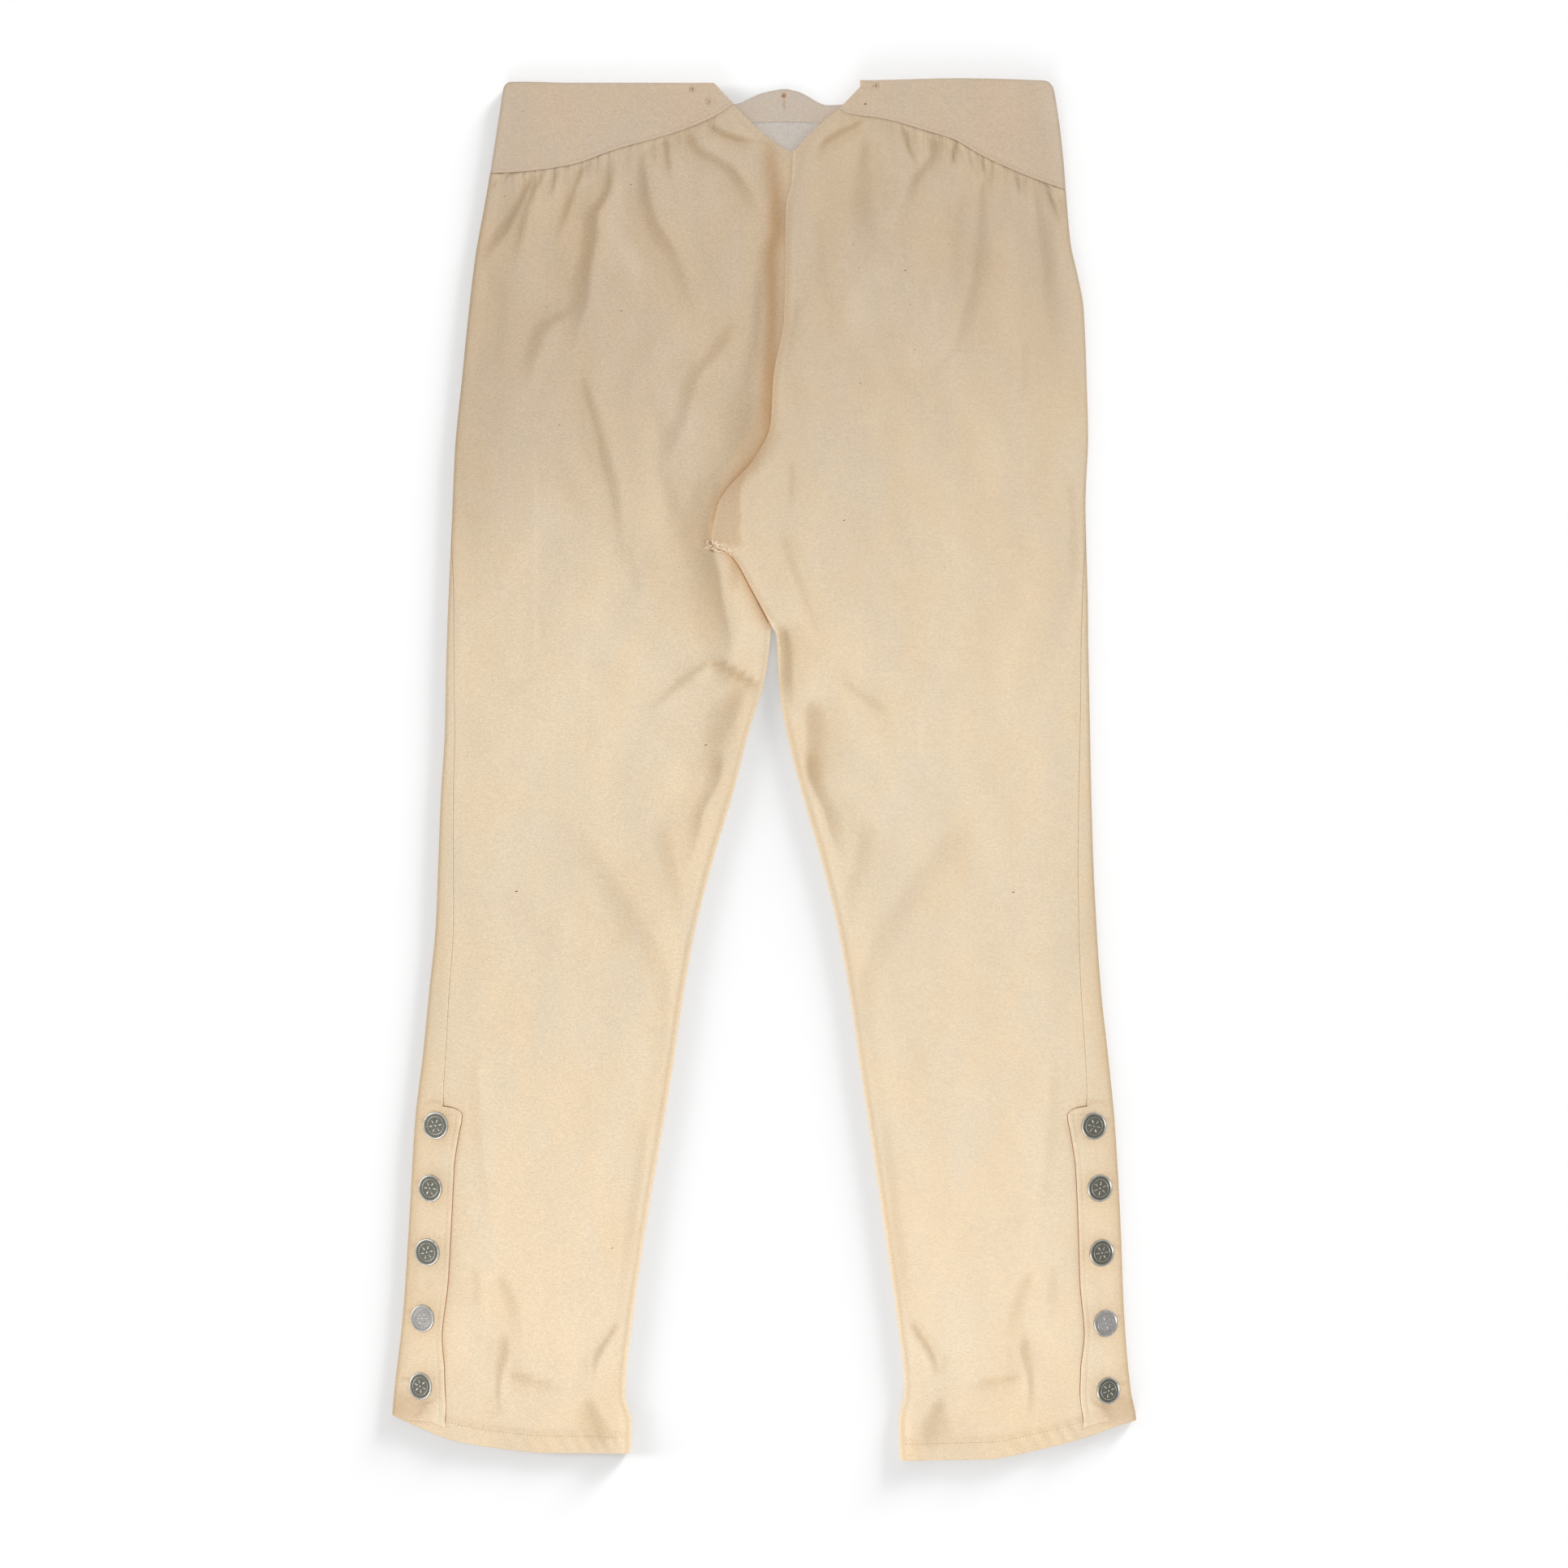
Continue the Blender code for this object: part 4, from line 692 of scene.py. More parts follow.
def row_line(leg, level, x, waist):
    """Height of a row at x: it follows the hem at its foot and the waist line at its head."""
    at_hem = 1 - ease((level - HEM_LEVEL) / HEM_REACH)
    at_waist = ease((level - WAIST_LEVEL) / WAIST_REACH + 1)
    return level + at_hem * (read(leg.hem, "y", x) - HEM_LEVEL) + at_waist * (waist(x) - WAIST_LEVEL)


def settle(leg, level, waist, place):
    """Points that are on their row and on their column: place gives x for y."""
    y = level.copy()
    for _ in range(SETTLE_STEPS):
        y = mix(y, row_line(leg, level, place(y), waist), SETTLE_SHARE)
    return place(y), y


# Middle of the wall of each sheet of cloth. A back panel's columns go round its side, over the leg and down its
# inner edge, with the part that turns back.
OUTER, FLAT, INNER, RETURN = 3.0, 12.0, 6.0, 2.0


def back_rim(column, y):
    """How far up from the leg's outermost line a back panel's first columns are."""
    return back_inset(y) + QUARTER * np.minimum(column, OUTER) / OUTER


def back_place(leg, column, y):
    share = np.clip((column - OUTER) / FLAT, 0, 1)
    return mix(side_x(leg, y, back_rim(column, y)), inner_start(leg, y), share)


def inner_curl(leg, step, y):
    share = open_leg(leg, y)
    if leg.side < 0:
        length = (QUARTER - (1 - share) * (SEAM / 2 + LEAN_IN)) * step / INNER
        return curl(length, QUARTER, math.pi / 2 * (1 - share))
    radius = inner_bend(leg, y)[0]
    bend = INNER - RETURN
    seamed = (radius * math.pi / 2 - SEAM / 2 - LEAN_IN) * step / INNER
    folded = radius * math.pi * np.minimum(step / bend, 1.0)
    folded = folded + CENTRE_RETURN * np.maximum(step - bend, 0.0) / RETURN
    return turn_under(mix(seamed, folded, share), radius)


def back_points(leg, column, level):
    """A back panel: from the side seam over the leg to its inner edge, where it curls or folds under."""
    x, y = settle(leg, level, partial(top_line, leg), partial(back_place, leg, column))
    rim_x, rim_z = side_point(leg, y, back_rim(column, y))
    run, drop = inner_curl(leg, np.maximum(column - OUTER - FLAT, 0), y)
    at_side = column < OUTER
    z = np.where(at_side, rim_z, back_height(leg, x, y) - drop)
    return np.where(at_side, rim_x, x - leg.side * run), y, z


def front_waist(x):
    return read(FRONT_BAND_LOWER, "y", x) - SEAM / 2


def centre_front(y):
    share = ease((y - CROTCH) / (FRONT_SEAM_TOP - CROTCH))
    return mix(CENTRE_FRONT_FOOT, CENTRE_FRONT_TOP, share)


def front_edge(leg, y):
    leg_edge = read(leg.sections, "inner", y) + leg.side * mix(CLOTH, SEAM, joined(y)) / 2
    return np.where(y > CROTCH, centre_front(y) + leg.side * SEAM / 2, leg_edge)


def front_inner_start(leg, y):
    return front_edge(leg, y) + leg.side * curl(QUARTER, QUARTER, math.pi / 2 * (1 - joined(y)))[0]


def front_length(wrap, y):
    """Length round the outer edge for a share of the way: counts past 1 run back from the free edge in mm."""
    inset = side_inset(y)
    end = inset - SEAM / 2 - LEAN_IN * ease((QUARTER + ROLL - inset) / ROLL)
    way = -QUARTER + (end - FLAP_EDGE + QUARTER) * np.clip(wrap, 0, 1) ** 1.25
    return np.where(wrap > 1, end - FLAP_EDGE + (wrap - 1) * FLAP_EDGE, way)


def front_points(leg, column, level):
    """A front panel: column runs from -1 to 0 on its inner edge, 0 to 1 on the flat, 1 to 3 round the side."""
    wrapped, wrap = column > 1, column - 1
    past_side = (front_length(wrap, HEM_LEVEL) > 0) & (level < 0)

    def waist(x):
        return np.where(past_side, top_line(leg, x), front_waist(x))

    def place(y):
        flat = mix(front_inner_start(leg, y), outer_start(leg, y), np.clip(column, 0, 1))
        return np.where(wrapped, side_x(leg, y, front_length(wrap, y)), flat)

    x, y = settle(leg, level, waist, place)
    length = front_length(wrap, y)
    rise = FLAP_RISE * (1 - ease((level - HEM_LEVEL) / FLAP_RISE_REACH))
    y = np.where(wrapped, y + rise * ease((length - FLAP_RISE_START) / FLAP_RISE_RUN), y)
    wrapped_x, wrapped_z = wrapped_point(leg, y, length)
    under = (QUARTER - SEAM / 2 - LEAN_IN) * np.maximum(-column, 0)
    run, climb = curl(under, QUARTER, math.pi / 2 * (1 - joined(y)))
    return np.where(wrapped, wrapped_x, x - leg.side * run), y, np.where(wrapped, wrapped_z, CLOTH / 2 + climb)


def flap_relief(leg, x, y, length):
    """Sewing groove, turned edge and small folds of the buttoned flap, drawn down a little by its buttons."""
    on_flap = ease((FLAP_TOP - y) / 3)
    from_edge = side_inset(y) - length
    groove = 0.3 * bump(from_edge - EDGE_STITCHES, 0.7)
    lip = 0.22 * ease(from_edge) * (1 - ease((from_edge - EDGE_STITCHES + 1) / 1.5))
    relief = lip - groove
    for button in leg.buttons:
        relief = relief - 0.5 * bump(np.hypot(x - button.x, (y - button.y) * 1.2), 7.0)
        relief = relief + 0.3 * bump(y - button.y - 24, 11.0) * np.sin(math.pi * np.clip(length / 40, 0, 1))
    for fold in leg.flap_folds:
        relief = relief - fold_shape(leg, fold, False, x, y)[0]
    return relief * on_flap


def corner_drop(leg, x, y):
    side = np.clip((read(leg.sections, "outer", y) - x) * leg.side, 0.0, CORNER)
    return CORNER - np.sqrt(CORNER**2 - (CORNER - side) ** 2)


def band_end(leg, y):
    start = leg.lower[-1 if leg.side < 0 else 0].y
    return leg.end + leg.side * END_SLANT * np.clip((y - start) / END_SLANT_HEIGHT, 0.0, 1.0)


def band_relief(leg, x, y, above):
    """The folded lower edge of the waistband, sewn close above itself, and its slight unevenness."""
    twist = 0.16 * np.sin(x * 2.704 + above * 1.9) * bump(above - 1.5, 0.9)
    lip = 0.28 * ease(above / 0.5) * (1 - ease((above - 2.1) / 1.4)) + twist
    groove = 0.12 * bump(above - BAND_STITCHES, 0.55)
    wave = 0.16 * np.sin(x / 21 + 1) * np.sin(y / 15 + x / 40) + 0.07 * np.sin(x / 6.1 + y / 9)
    dips = sum(0.5 * bump(np.hypot(x - eyelet.x, y - eyelet.y), 4.5) for eyelet in leg.eyelets)
    return lip - groove + wave * ease((above - 3) / 6) - dips


def band_points(leg, column, row):
    """A back waistband half: column is 0 to 1 on its rolled side and 1 to 2 across, row is 0 to 1 up."""
    y = mix(BAND_BOTTOM, BAND_TOP, np.clip(row, 0, 1))
    length = mix(BAND_END, QUARTER, np.minimum(column, 1.0))
    reach = BAND / 2 + ROLL
    for _ in range(SETTLE_STEPS):
        start = read(leg.sections, "outer", y) - leg.side * reach
        rim = start + leg.side * ROLL * np.cos(length / ROLL)
        x = mix(rim, band_end(leg, y), np.clip(column - 1, 0, 1))
        low = read(leg.lower, "y", x)
        high = read(leg.upper, "y", x) - corner_drop(leg, x, y)
        target = np.where(row < 0, low + BAND_FOOT * (1 + row), mix(low + BAND_FOOT, high, np.clip(row, 0, 1)))
        y = mix(y, target, SETTLE_SHARE)
    above = y - read(leg.lower, "y", x)
    level = np.where(column < 1, reach + ROLL * np.sin(length / ROLL), band_height(leg, x, y))
    return x, y, level + band_relief(leg, x, y, above) * ease((column - 0.4) / 0.6)


def front_band_points(column, row):
    """The front waistband: column is -1 to 0 and 1 to 2 on its curled sides and 0 to 1 across the flat."""
    share = np.clip(column, 0, 1)
    past = np.maximum(np.maximum(-column, column - 1), 0)
    turn = (QUARTER - BAND_END) / ROLL * past
    side = np.where(share < 0.5, -1.0, 1.0)
    reach = BAND / 2 + ROLL
    y = mix(BAND_BOTTOM, BAND_TOP, row)
    for _ in range(SETTLE_STEPS):
        x = mix(read(LEFT.sections, "outer", y) + reach, read(RIGHT.sections, "outer", y) - reach, share)
        x = x + side * ROLL * np.sin(turn)
        drop = np.where(share < 0.5, corner_drop(LEFT, x, y), corner_drop(RIGHT, x, y))
        high = read(FRONT_BAND_UPPER, "y", x) - drop
        y = mix(y, mix(read(FRONT_BAND_LOWER, "y", x) + SEAM / 2, high, row), SETTLE_SHARE)
    return x, y, BAND / 2 + ROLL * (1 - np.cos(turn))


def lining_points(column, row):
    x = mix(LINING_LEFT, LINING_RIGHT, column)
    y = mix(LINING_FOOT, read(FRONT_BAND_LOWER, "y", x) + 1.5, row)
    wrinkle = 0.3 * np.sin(x / 6.3 + y / 9) * np.sin(y / 7.1 - x / 15) + 0.25 * bump(x - 18 + (y - 480) * 0.4, 3)
    calm = ease((1 - row) / 0.2) * ease(row / 0.2)
    lapped = 0.22 * ease(1 - (read(FRONT_BAND_LOWER, "y", x) + 0.8 - y) / 4)
    return x, y, CLOTH + SEAM + LINING / 2 + 0.05 + wrinkle * calm * 0.5 + lapped


# Finishes
def add_node(tree, kind, inputs=(), **settings):
    """A node with its settings; an input is given as a value or as another node's output."""
    node = tree.nodes.new(kind)
    for name, value in settings.items():
        setattr(node, name, value)
    for key, value in dict(inputs).items():
        if isinstance(value, bpy.types.NodeSocket):
            tree.links.new(value, node.inputs[key])
        else:
            node.inputs[key].default_value = value
    return node


def math_of(tree, operation, first, second=0.0, third=0.0):
    return add_node(tree, "ShaderNodeMath", {0: first, 1: second, 2: third}, operation=operation).outputs[0]


def blend(tree, share, first, second, kind="MIX"):
    """Two colours mixed by a share, each given as red, green and blue or as another node's output."""
    ends = [(*end, 1) if isinstance(end, tuple) else end for end in (first, second)]
    node = add_node(tree, "ShaderNodeMix", {0: share, 6: ends[0], 7: ends[1]}, data_type="RGBA", blend_type=kind)
    return node.outputs[2]


def ramp(tree, value, start, stop, low=0.0, high=1.0):
    node = add_node(tree, "ShaderNodeMapRange", {0: value, 1: start, 2: stop, 3: low, 4: high},
                    interpolation_type="SMOOTHSTEP")
    return node.outputs[0]


def noise(tree, vector, scale, detail=3.0, roughness=0.55, distortion=0.0):
    look = {"Vector": vector, "Scale": scale, "Detail": detail, "Roughness": roughness, "Distortion": distortion}
    return add_node(tree, "ShaderNodeTexNoise", look).outputs["Fac"]


def stretched(tree, vector, scale):
    return add_node(tree, "ShaderNodeMapping", {"Vector": vector, "Scale": scale}).outputs[0]


def colour_by(tree, shader, share, first, second):
    tree.links.new(blend(tree, share, first, second), shader.inputs["Base Color"])


def add_relief(tree, shader, height, strength, distance):
    """Fine relief, over any that the shader has already."""
    given = {"Height": height, "Strength": strength, "Distance": distance}
    if shader.inputs["Normal"].is_linked:
        given["Normal"] = shader.inputs["Normal"].links[0].from_socket
    tree.links.new(add_node(tree, "ShaderNodeBump", given).outputs[0], shader.inputs["Normal"])


NUMBER, PLACE = "NodeSocketFloat", "NodeSocketVector"


def new_group(name, inputs, outputs):
    """A node group with its ends, from the names and kinds of its inputs and the names of its numbers out."""
    group = bpy.data.node_groups.new(name, "ShaderNodeTree")
    for label, kind in inputs.items():
        group.interface.new_socket(label, in_out="INPUT", socket_type=kind)
    for label in outputs:
        group.interface.new_socket(label, in_out="OUTPUT", socket_type=NUMBER)
    return group, group.nodes.new("NodeGroupInput").outputs, group.nodes.new("NodeGroupOutput").inputs


def twill_group():
    """Diagonal ribs of a napped twill, its stray fibres and its cloudy tone."""
    group, given, put = new_group("napped_twill", {"Vector": PLACE, "Pitch": NUMBER, "Nap": NUMBER},
                                  ("Height", "Fibre", "Cloud", "Tone"))
    find = partial(math_of, group)
    vector = given["Vector"]
    parts = add_node(group, "ShaderNodeSeparateXYZ", {0: vector}).outputs
    slant = find("ADD", parts[0], find("MULTIPLY", parts[1], 0.8))
    phase = find("MULTIPLY", find("DIVIDE", slant, given["Pitch"]), 2 * math.pi)
    wander = find("MULTIPLY", noise(group, vector, 55.0, 2.0), 9.0)
    rib = find("MULTIPLY_ADD", find("SINE", find("ADD", phase, wander)), 0.5, 0.5)
    fibre = noise(group, stretched(group, vector, (1.0, 2.2, 1.0)), 1150.0, 3.0, 0.62)
    fuzz = noise(group, vector, 420.0, 4.0, 0.6, 0.6)
    nap = find("ADD", find("MULTIPLY", fibre, 0.6), find("MULTIPLY", fuzz, 0.4))
    crepe = noise(group, stretched(group, vector, (0.7, 1.15, 1.0)), 640.0, 3.0, 0.65, 0.3)
    found = {
        "Height": add_node(group, "ShaderNodeMix", {0: given["Nap"], 2: rib, 3: nap}).outputs[0],
        "Fibre": find("ADD", find("MULTIPLY", crepe, 0.5), find("MULTIPLY", fibre, 0.5)),
        "Cloud": noise(group, stretched(group, vector, (1.0, 0.6, 1.0)), 15.0, 4.0, 0.55, 0.4),
        "Tone": noise(group, stretched(group, vector, (1.3, 0.7, 1.0)), 19.0, 3.0, 0.5, 0.5),
    }
    for name, value in found.items():
        group.links.new(value, put[name])
    return group


def patch_group():
    """A soft-edged uneven spot round a centre."""
    group, given, put = new_group("stain", {"Vector": PLACE, "Centre": PLACE, "Radius": NUMBER, "Length": NUMBER},
                                  ("Mask",))
    find = partial(math_of, group)
    away = add_node(group, "ShaderNodeVectorMath", {0: given["Vector"], 1: given["Centre"]}, operation="SUBTRACT")
    parts = add_node(group, "ShaderNodeSeparateXYZ", {0: away.outputs[0]}).outputs
    across = find("POWER", find("ABSOLUTE", parts[0]), 2.0)
    up = find("POWER", find("ABSOLUTE", find("DIVIDE", parts[1], given["Length"])), 2.0)
    ragged = find("MULTIPLY_ADD", noise(group, given["Vector"], 700.0, 3.0), 1.6, 0.2)
    distance = find("MULTIPLY", find("SQRT", find("ADD", across, up)), ragged)
    group.links.new(ramp(group, find("DIVIDE", distance, given["Radius"]), 1.0, 0.25), put["Mask"])
    return group


def placed(tree, group, inputs):
    return add_node(tree, "ShaderNodeGroup", inputs, node_tree=group).outputs


def new_material(name, **constants):
    """A material with its tree, shader and coordinates; a constant is named as its socket, with _ for a space."""
    material = bpy.data.materials.new(name)
    material.use_nodes = True
    tree = material.node_tree
    shader = tree.nodes["Principled BSDF"]
    for word, value in constants.items():
        shader.inputs[word.replace("_", " ")].default_value = value
    return material, tree, shader, add_node(tree, "ShaderNodeTexCoord").outputs["Object"]


def attribute(tree, name):
    return add_node(tree, "ShaderNodeAttribute", attribute_name=name).outputs["Fac"]


Stain = namedtuple("Stain", "x y radius length strength")
# Brown patches on the back panels: the two wide ones at the flap's lower corners are painted shade.
PANEL_STAINS_AND_SHADE = table(
    Stain,
    (-40.5, 170.2, 3.2, 0.9, 0.9), (-24.0, 150.0, 6.0, 3.0, 0.2), (-274, -494, 24, 0.8, 0.3),
    (274, -496, 24, 0.8, 0.3),
)
BAND_STAINS = table(
    Stain,
    (-57.0, 526.8, 2.3, 0.7, 0.3), (86.4, 529.6, 3.2, 0.6, 0.6), (78.1, 515.5, 1.6, 1.0, 0.6),
    (14.8, 522.8, 2.8, 1.1, 1.0), (15.3, 516.0, 1.8, 3.6, 0.35),
)
# Painted shade in the eyelets' holes, which are not cut.
EYELET_HOLES = table(
    Stain,
    (-56.1, 527.0, 0.7, 1.0, 0.6), (-43.5, 517.5, 0.7, 1.0, 0.35), (86.5, 529.6, 0.7, 1.0, 0.7),
    (78.1, 515.5, 0.9, 1.0, 1.0),
)
# This brown colours the stains and the painted shade at the flap's lower corners.
STAIN_AND_SHADE_BROWN = (0.40, 0.20, 0.08)
HOLE_PAINTED_SHADE = (0.08, 0.05, 0.03)


def tinted_patches(tree, place, stains, stain, base, tint):
    for spot in stains:
        mask = placed(tree, stain, {"Vector": place, "Centre": (spot.x * MILLIMETRE, spot.y * MILLIMETRE, 0.0),
                                    "Radius": spot.radius * MILLIMETRE, "Length": spot.length})["Mask"]
        base = blend(tree, math_of(tree, "MULTIPLY", mask, spot.strength), base, tint)
    return base


# Colours of each cloth at the foot, at the crotch and at the waist, where the change between them is painted falloff
# of light, of its darker and paler clouds, and its look.
Cloth = namedtuple("Cloth", "low middle high dark pale nap pitch roughness sheen stains")
CLOTHS = {
    "cream_twill": Cloth((0.895, 0.735, 0.525), (0.790, 0.655, 0.472), (0.590, 0.470, 0.333), (0.50, 0.35, 0.22),
                         (0.80, 0.70, 0.56), 0.6, 0.00105, 0.95, 0.1, PANEL_STAINS_AND_SHADE),
    "band_twill": Cloth(*[(0.585, 0.466, 0.345)] * 3, (0.48, 0.33, 0.21), (0.72, 0.61, 0.48), 0.7, 0.0009, 0.95,
                        0.1, BAND_STAINS),
    "band_inside": Cloth(*[(0.605, 0.515, 0.425)] * 3, (0.48, 0.36, 0.26), (0.66, 0.59, 0.50), 0.7, 0.0009, 0.95,
                         0.1, BAND_STAINS),
    "lining_white": Cloth(*[(0.69, 0.63, 0.565)] * 3, (0.60, 0.51, 0.43), (0.80, 0.76, 0.71), 0.5, 0.0006, 0.9,
                          0.05, ()),
}
FOLD_SHADE = (0.80, 0.735, 0.65)
# Warm painted shade beside the centre back, the crotch seam and the seam allowances.
WARM_SHADE = (0.84, 0.74, 0.64)
WARM_TONE = (1.015, 0.99, 0.965)
COOL_TONE = (0.985, 0.995, 1.02)
TONE_SLANT = 0.3


def cloth_finish(name, look, twill, stain):
    material, tree, shader, place = new_material(
        name, Roughness=look.roughness, Specular_IOR_Level=0.2, Sheen_Weight=look.sheen, Sheen_Roughness=0.6,
        Sheen_Tint=(1.0, 0.93, 0.82, 1))
    weave = placed(tree, twill, {"Vector": place, "Pitch": look.pitch, "Nap": look.nap})
    parts = add_node(tree, "ShaderNodeSeparateXYZ", {0: place}).outputs
    # The cream twill darkens from the foot to the waist and is lighter on the right of the seat: a painted falloff of
    # the light.
    slant = math_of(tree, "MULTIPLY", parts[0], ramp(tree, parts[1], 0.1, 0.28, 0.0, TONE_SLANT))
    height_on_leg = math_of(tree, "SUBTRACT", parts[1], slant)
    base = blend(tree, ramp(tree, height_on_leg, -0.5, -0.05), look.low, look.middle)
    base = blend(tree, ramp(tree, height_on_leg, 0.02, 0.4), base, look.high)
    base = blend(tree, ramp(tree, weave["Cloud"], 0.54, 0.74, 0.0, 0.2), base, look.pale)
    base = blend(tree, ramp(tree, weave["Cloud"], 0.48, 0.30, 0.0, 0.08), base, look.dark)
    tone = blend(tree, ramp(tree, weave["Tone"], 0.32, 0.68), WARM_TONE, COOL_TONE)
    fibres = ramp(tree, weave["Fibre"], 0.3, 0.7, 0.88, 1.12)
    # The base colour is multiplied by the random tone, by painted shade from the two shade attributes, and by the
    # fibres.
    for share, shade in ((1.0, tone), (attribute(tree, "valley"), FOLD_SHADE),
                         (attribute(tree, "warm"), WARM_SHADE), (1.0, fibres)):
        base = blend(tree, share, base, shade, "MULTIPLY")
    base = tinted_patches(tree, place, look.stains, stain, base, STAIN_AND_SHADE_BROWN)
    # Painted shade in the eyelet holes.
    if name == "band_twill":
        base = tinted_patches(tree, place, EYELET_HOLES, stain, base, HOLE_PAINTED_SHADE)
    tree.links.new(base, shader.inputs["Base Color"])
    pleats = noise(tree, stretched(tree, place, (170.0, 15.0, 1.0)), 1.0, 2.0, 0.4, 0.2)
    add_relief(tree, shader, math_of(tree, "MULTIPLY", pleats, attribute(tree, "pucker")), 1.0, 0.0036)
    add_relief(tree, shader, weave["Height"], 0.8, 0.00045)
    return material


def thread_finish(name, colour, dark):
    material, tree, shader, place = new_material(name, Roughness=0.75)
    strands = noise(tree, stretched(tree, place, (1.0, 3.0, 1.0)), 1800.0, 2.0)
    colour_by(tree, shader, ramp(tree, strands, 0.35, 0.65), dark, colour)
    add_relief(tree, shader, strands, 0.5, 0.0001)
    return material


def metal_finish(name, colour, worn, roughness):
    """Antiqued metal: duller and brighter in uneven patches."""
    material, tree, shader, place = new_material(name, Metallic=1.0)
    tarnish = noise(tree, place, 260.0, 4.0, 0.6)
    colour_by(tree, shader, ramp(tree, tarnish, 0.35, 0.7), colour, worn)
    tree.links.new(ramp(tree, tarnish, 0.3, 0.7, roughness, roughness + 0.15), shader.inputs["Roughness"])
    add_relief(tree, shader, noise(tree, place, 2600.0, 2.0), 0.2, 0.00005)
    return material


def plain_finish(name, colour, dark, roughness):
    material, tree, shader, place = new_material(name, Roughness=roughness)
    colour_by(tree, shader, ramp(tree, noise(tree, place, 900.0, 3.0), 0.35, 0.65), dark, colour)
    return material


THREADS = {
    "thread": ((0.60, 0.41, 0.26), (0.48, 0.30, 0.18)),
    "seam_line": ((0.70, 0.55, 0.39), (0.60, 0.45, 0.31)),
    # a dark thread laid close as painted shade along the flap's free edge and the crotch edge
    "edge_line": ((0.46, 0.26, 0.15), (0.36, 0.19, 0.10)),
    "buttonhole_thread": ((0.84, 0.67, 0.48), (0.74, 0.57, 0.40)),
    "eyelet_thread": ((0.68, 0.55, 0.40), (0.54, 0.40, 0.27)),
    "frayed_thread": ((0.92, 0.79, 0.62), (0.80, 0.64, 0.46)),
}
METALS = {
    "pewter": ((0.50, 0.49, 0.465), (0.72, 0.71, 0.68), 0.32),
    "brass": ((0.45, 0.33, 0.12), (0.55, 0.42, 0.18), 0.45),
}
PLAIN = {
    "field_dark": ((0.155, 0.15, 0.11), (0.105, 0.10, 0.07), 0.45),
    "field_pale": ((0.40, 0.385, 0.37), (0.33, 0.31, 0.29), 0.5),
    "lint": ((0.16, 0.12, 0.08), (0.08, 0.05, 0.03), 0.9),
}


def make_materials():
    twill, stain = twill_group(), patch_group()
    made = {name: cloth_finish(name, look, twill, stain) for name, look in CLOTHS.items()}
    for finish, looks in ((thread_finish, THREADS), (metal_finish, METALS), (plain_finish, PLAIN)):
        made.update({name: finish(name, *look) for name, look in looks.items()})
    return made


MATERIALS = make_materials()


# Making the sheets
def spread(*stretches):
    """Values along stretches, each given as (start, stop, steps)."""
    values = [stretches[0][0]]
    for start, stop, steps in stretches:
        values += [mix(start, stop, step / steps) for step in range(1, steps + 1)]
    return np.array(values, float)


def set_values(mesh, name, values):
    made = mesh.attributes.new(name, "FLOAT", "POINT")
    made.data.foreach_set("value", np.ascontiguousarray(values, np.float32))


def edge_distance(net):
    """Distance of each point of a net to the net's nearest edge, along its lines, in mm."""
    nearest = []
    for axis in (0, 1):
        steps = np.linalg.norm(np.diff(net, axis=axis), axis=2)
        gone = np.concatenate((np.zeros_like(steps.take([0], axis)), np.cumsum(steps, axis=axis)), axis=axis)
        nearest.append(np.minimum(gone, gone.take([-1], axis) - gone))
    return np.minimum(*nearest)


def cloth(node, columns, rows, points, wall, finish, marks=None, hem=None):
    """A thin shell of cloth in place of a node: a grid put in place, with rounded edges."""
    grid = bmesh.new()
    bmesh.ops.create_grid(grid, x_segments=len(columns) - 1, y_segments=len(rows) - 1, size=0.5)
    mesh = bpy.data.meshes.new("cloth_" + node)
    grid.to_mesh(mesh)
    grid.free()
    places = np.empty(len(mesh.vertices) * 3)
    mesh.vertices.foreach_get("co", places)
    places = places.reshape(-1, 3)
    column = np.rint((places[:, 0] + 0.5) * (len(columns) - 1)).astype(int)
    row = np.rint((places[:, 1] + 0.5) * (len(rows) - 1)).astype(int)
    x, y, z = points(columns[column], rows[row])
    spots = np.stack((x, y, z), axis=1)
    mesh.vertices.foreach_set("co", (spots * MILLIMETRE).ravel())
    net = np.empty((len(rows), len(columns), 3))
    net[row, column] = spots
    thickness = np.full(len(x), wall) if hem is None else wall + hem(x, y)
    share = np.clip(edge_distance(net)[row, column] / (EDGE_ROUND * wall), 0, 1)
    thickness = thickness * np.sqrt(np.maximum(1 - (1 - share) ** 2, EDGE_THINNEST))
    for name, values in (marks(x, y) if marks else {}).items():
        set_values(mesh, name, values)
    piece = bpy.data.objects.new("cloth_" + node, mesh)
    bpy.context.scene.collection.objects.link(piece)
    group = piece.vertex_groups.new(name="thickness")
    thickest = float(thickness.max())
    for index, weight in enumerate((thickness / thickest).tolist()):
        group.add((index,), weight, "REPLACE")
    shell = piece.modifiers.new("wall", "SOLIDIFY")
    shell.thickness = thickest * MILLIMETRE
    shell.offset = 0
    shell.use_even_offset = True
    shell.vertex_group = "thickness"
    settled = bpy.data.meshes.new_from_object(piece.evaluated_get(bpy.context.evaluated_depsgraph_get()))
    piece.modifiers.clear()
    piece.vertex_groups.clear()
    piece.data = settled
    bpy.data.meshes.remove(mesh)
    settled.name = "cloth_" + node
    settled.shade_smooth()
    return dress(piece, (finish,), node)


def dress(piece, finishes, *nodes):
    """Give a finished piece its materials, hang it on the root body and hide the nodes that it stands for."""
    for finish in finishes:
        piece.data.materials.append(MATERIALS[finish])
    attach(piece, "root")
    if nodes:
        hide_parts(*nodes)
    return piece


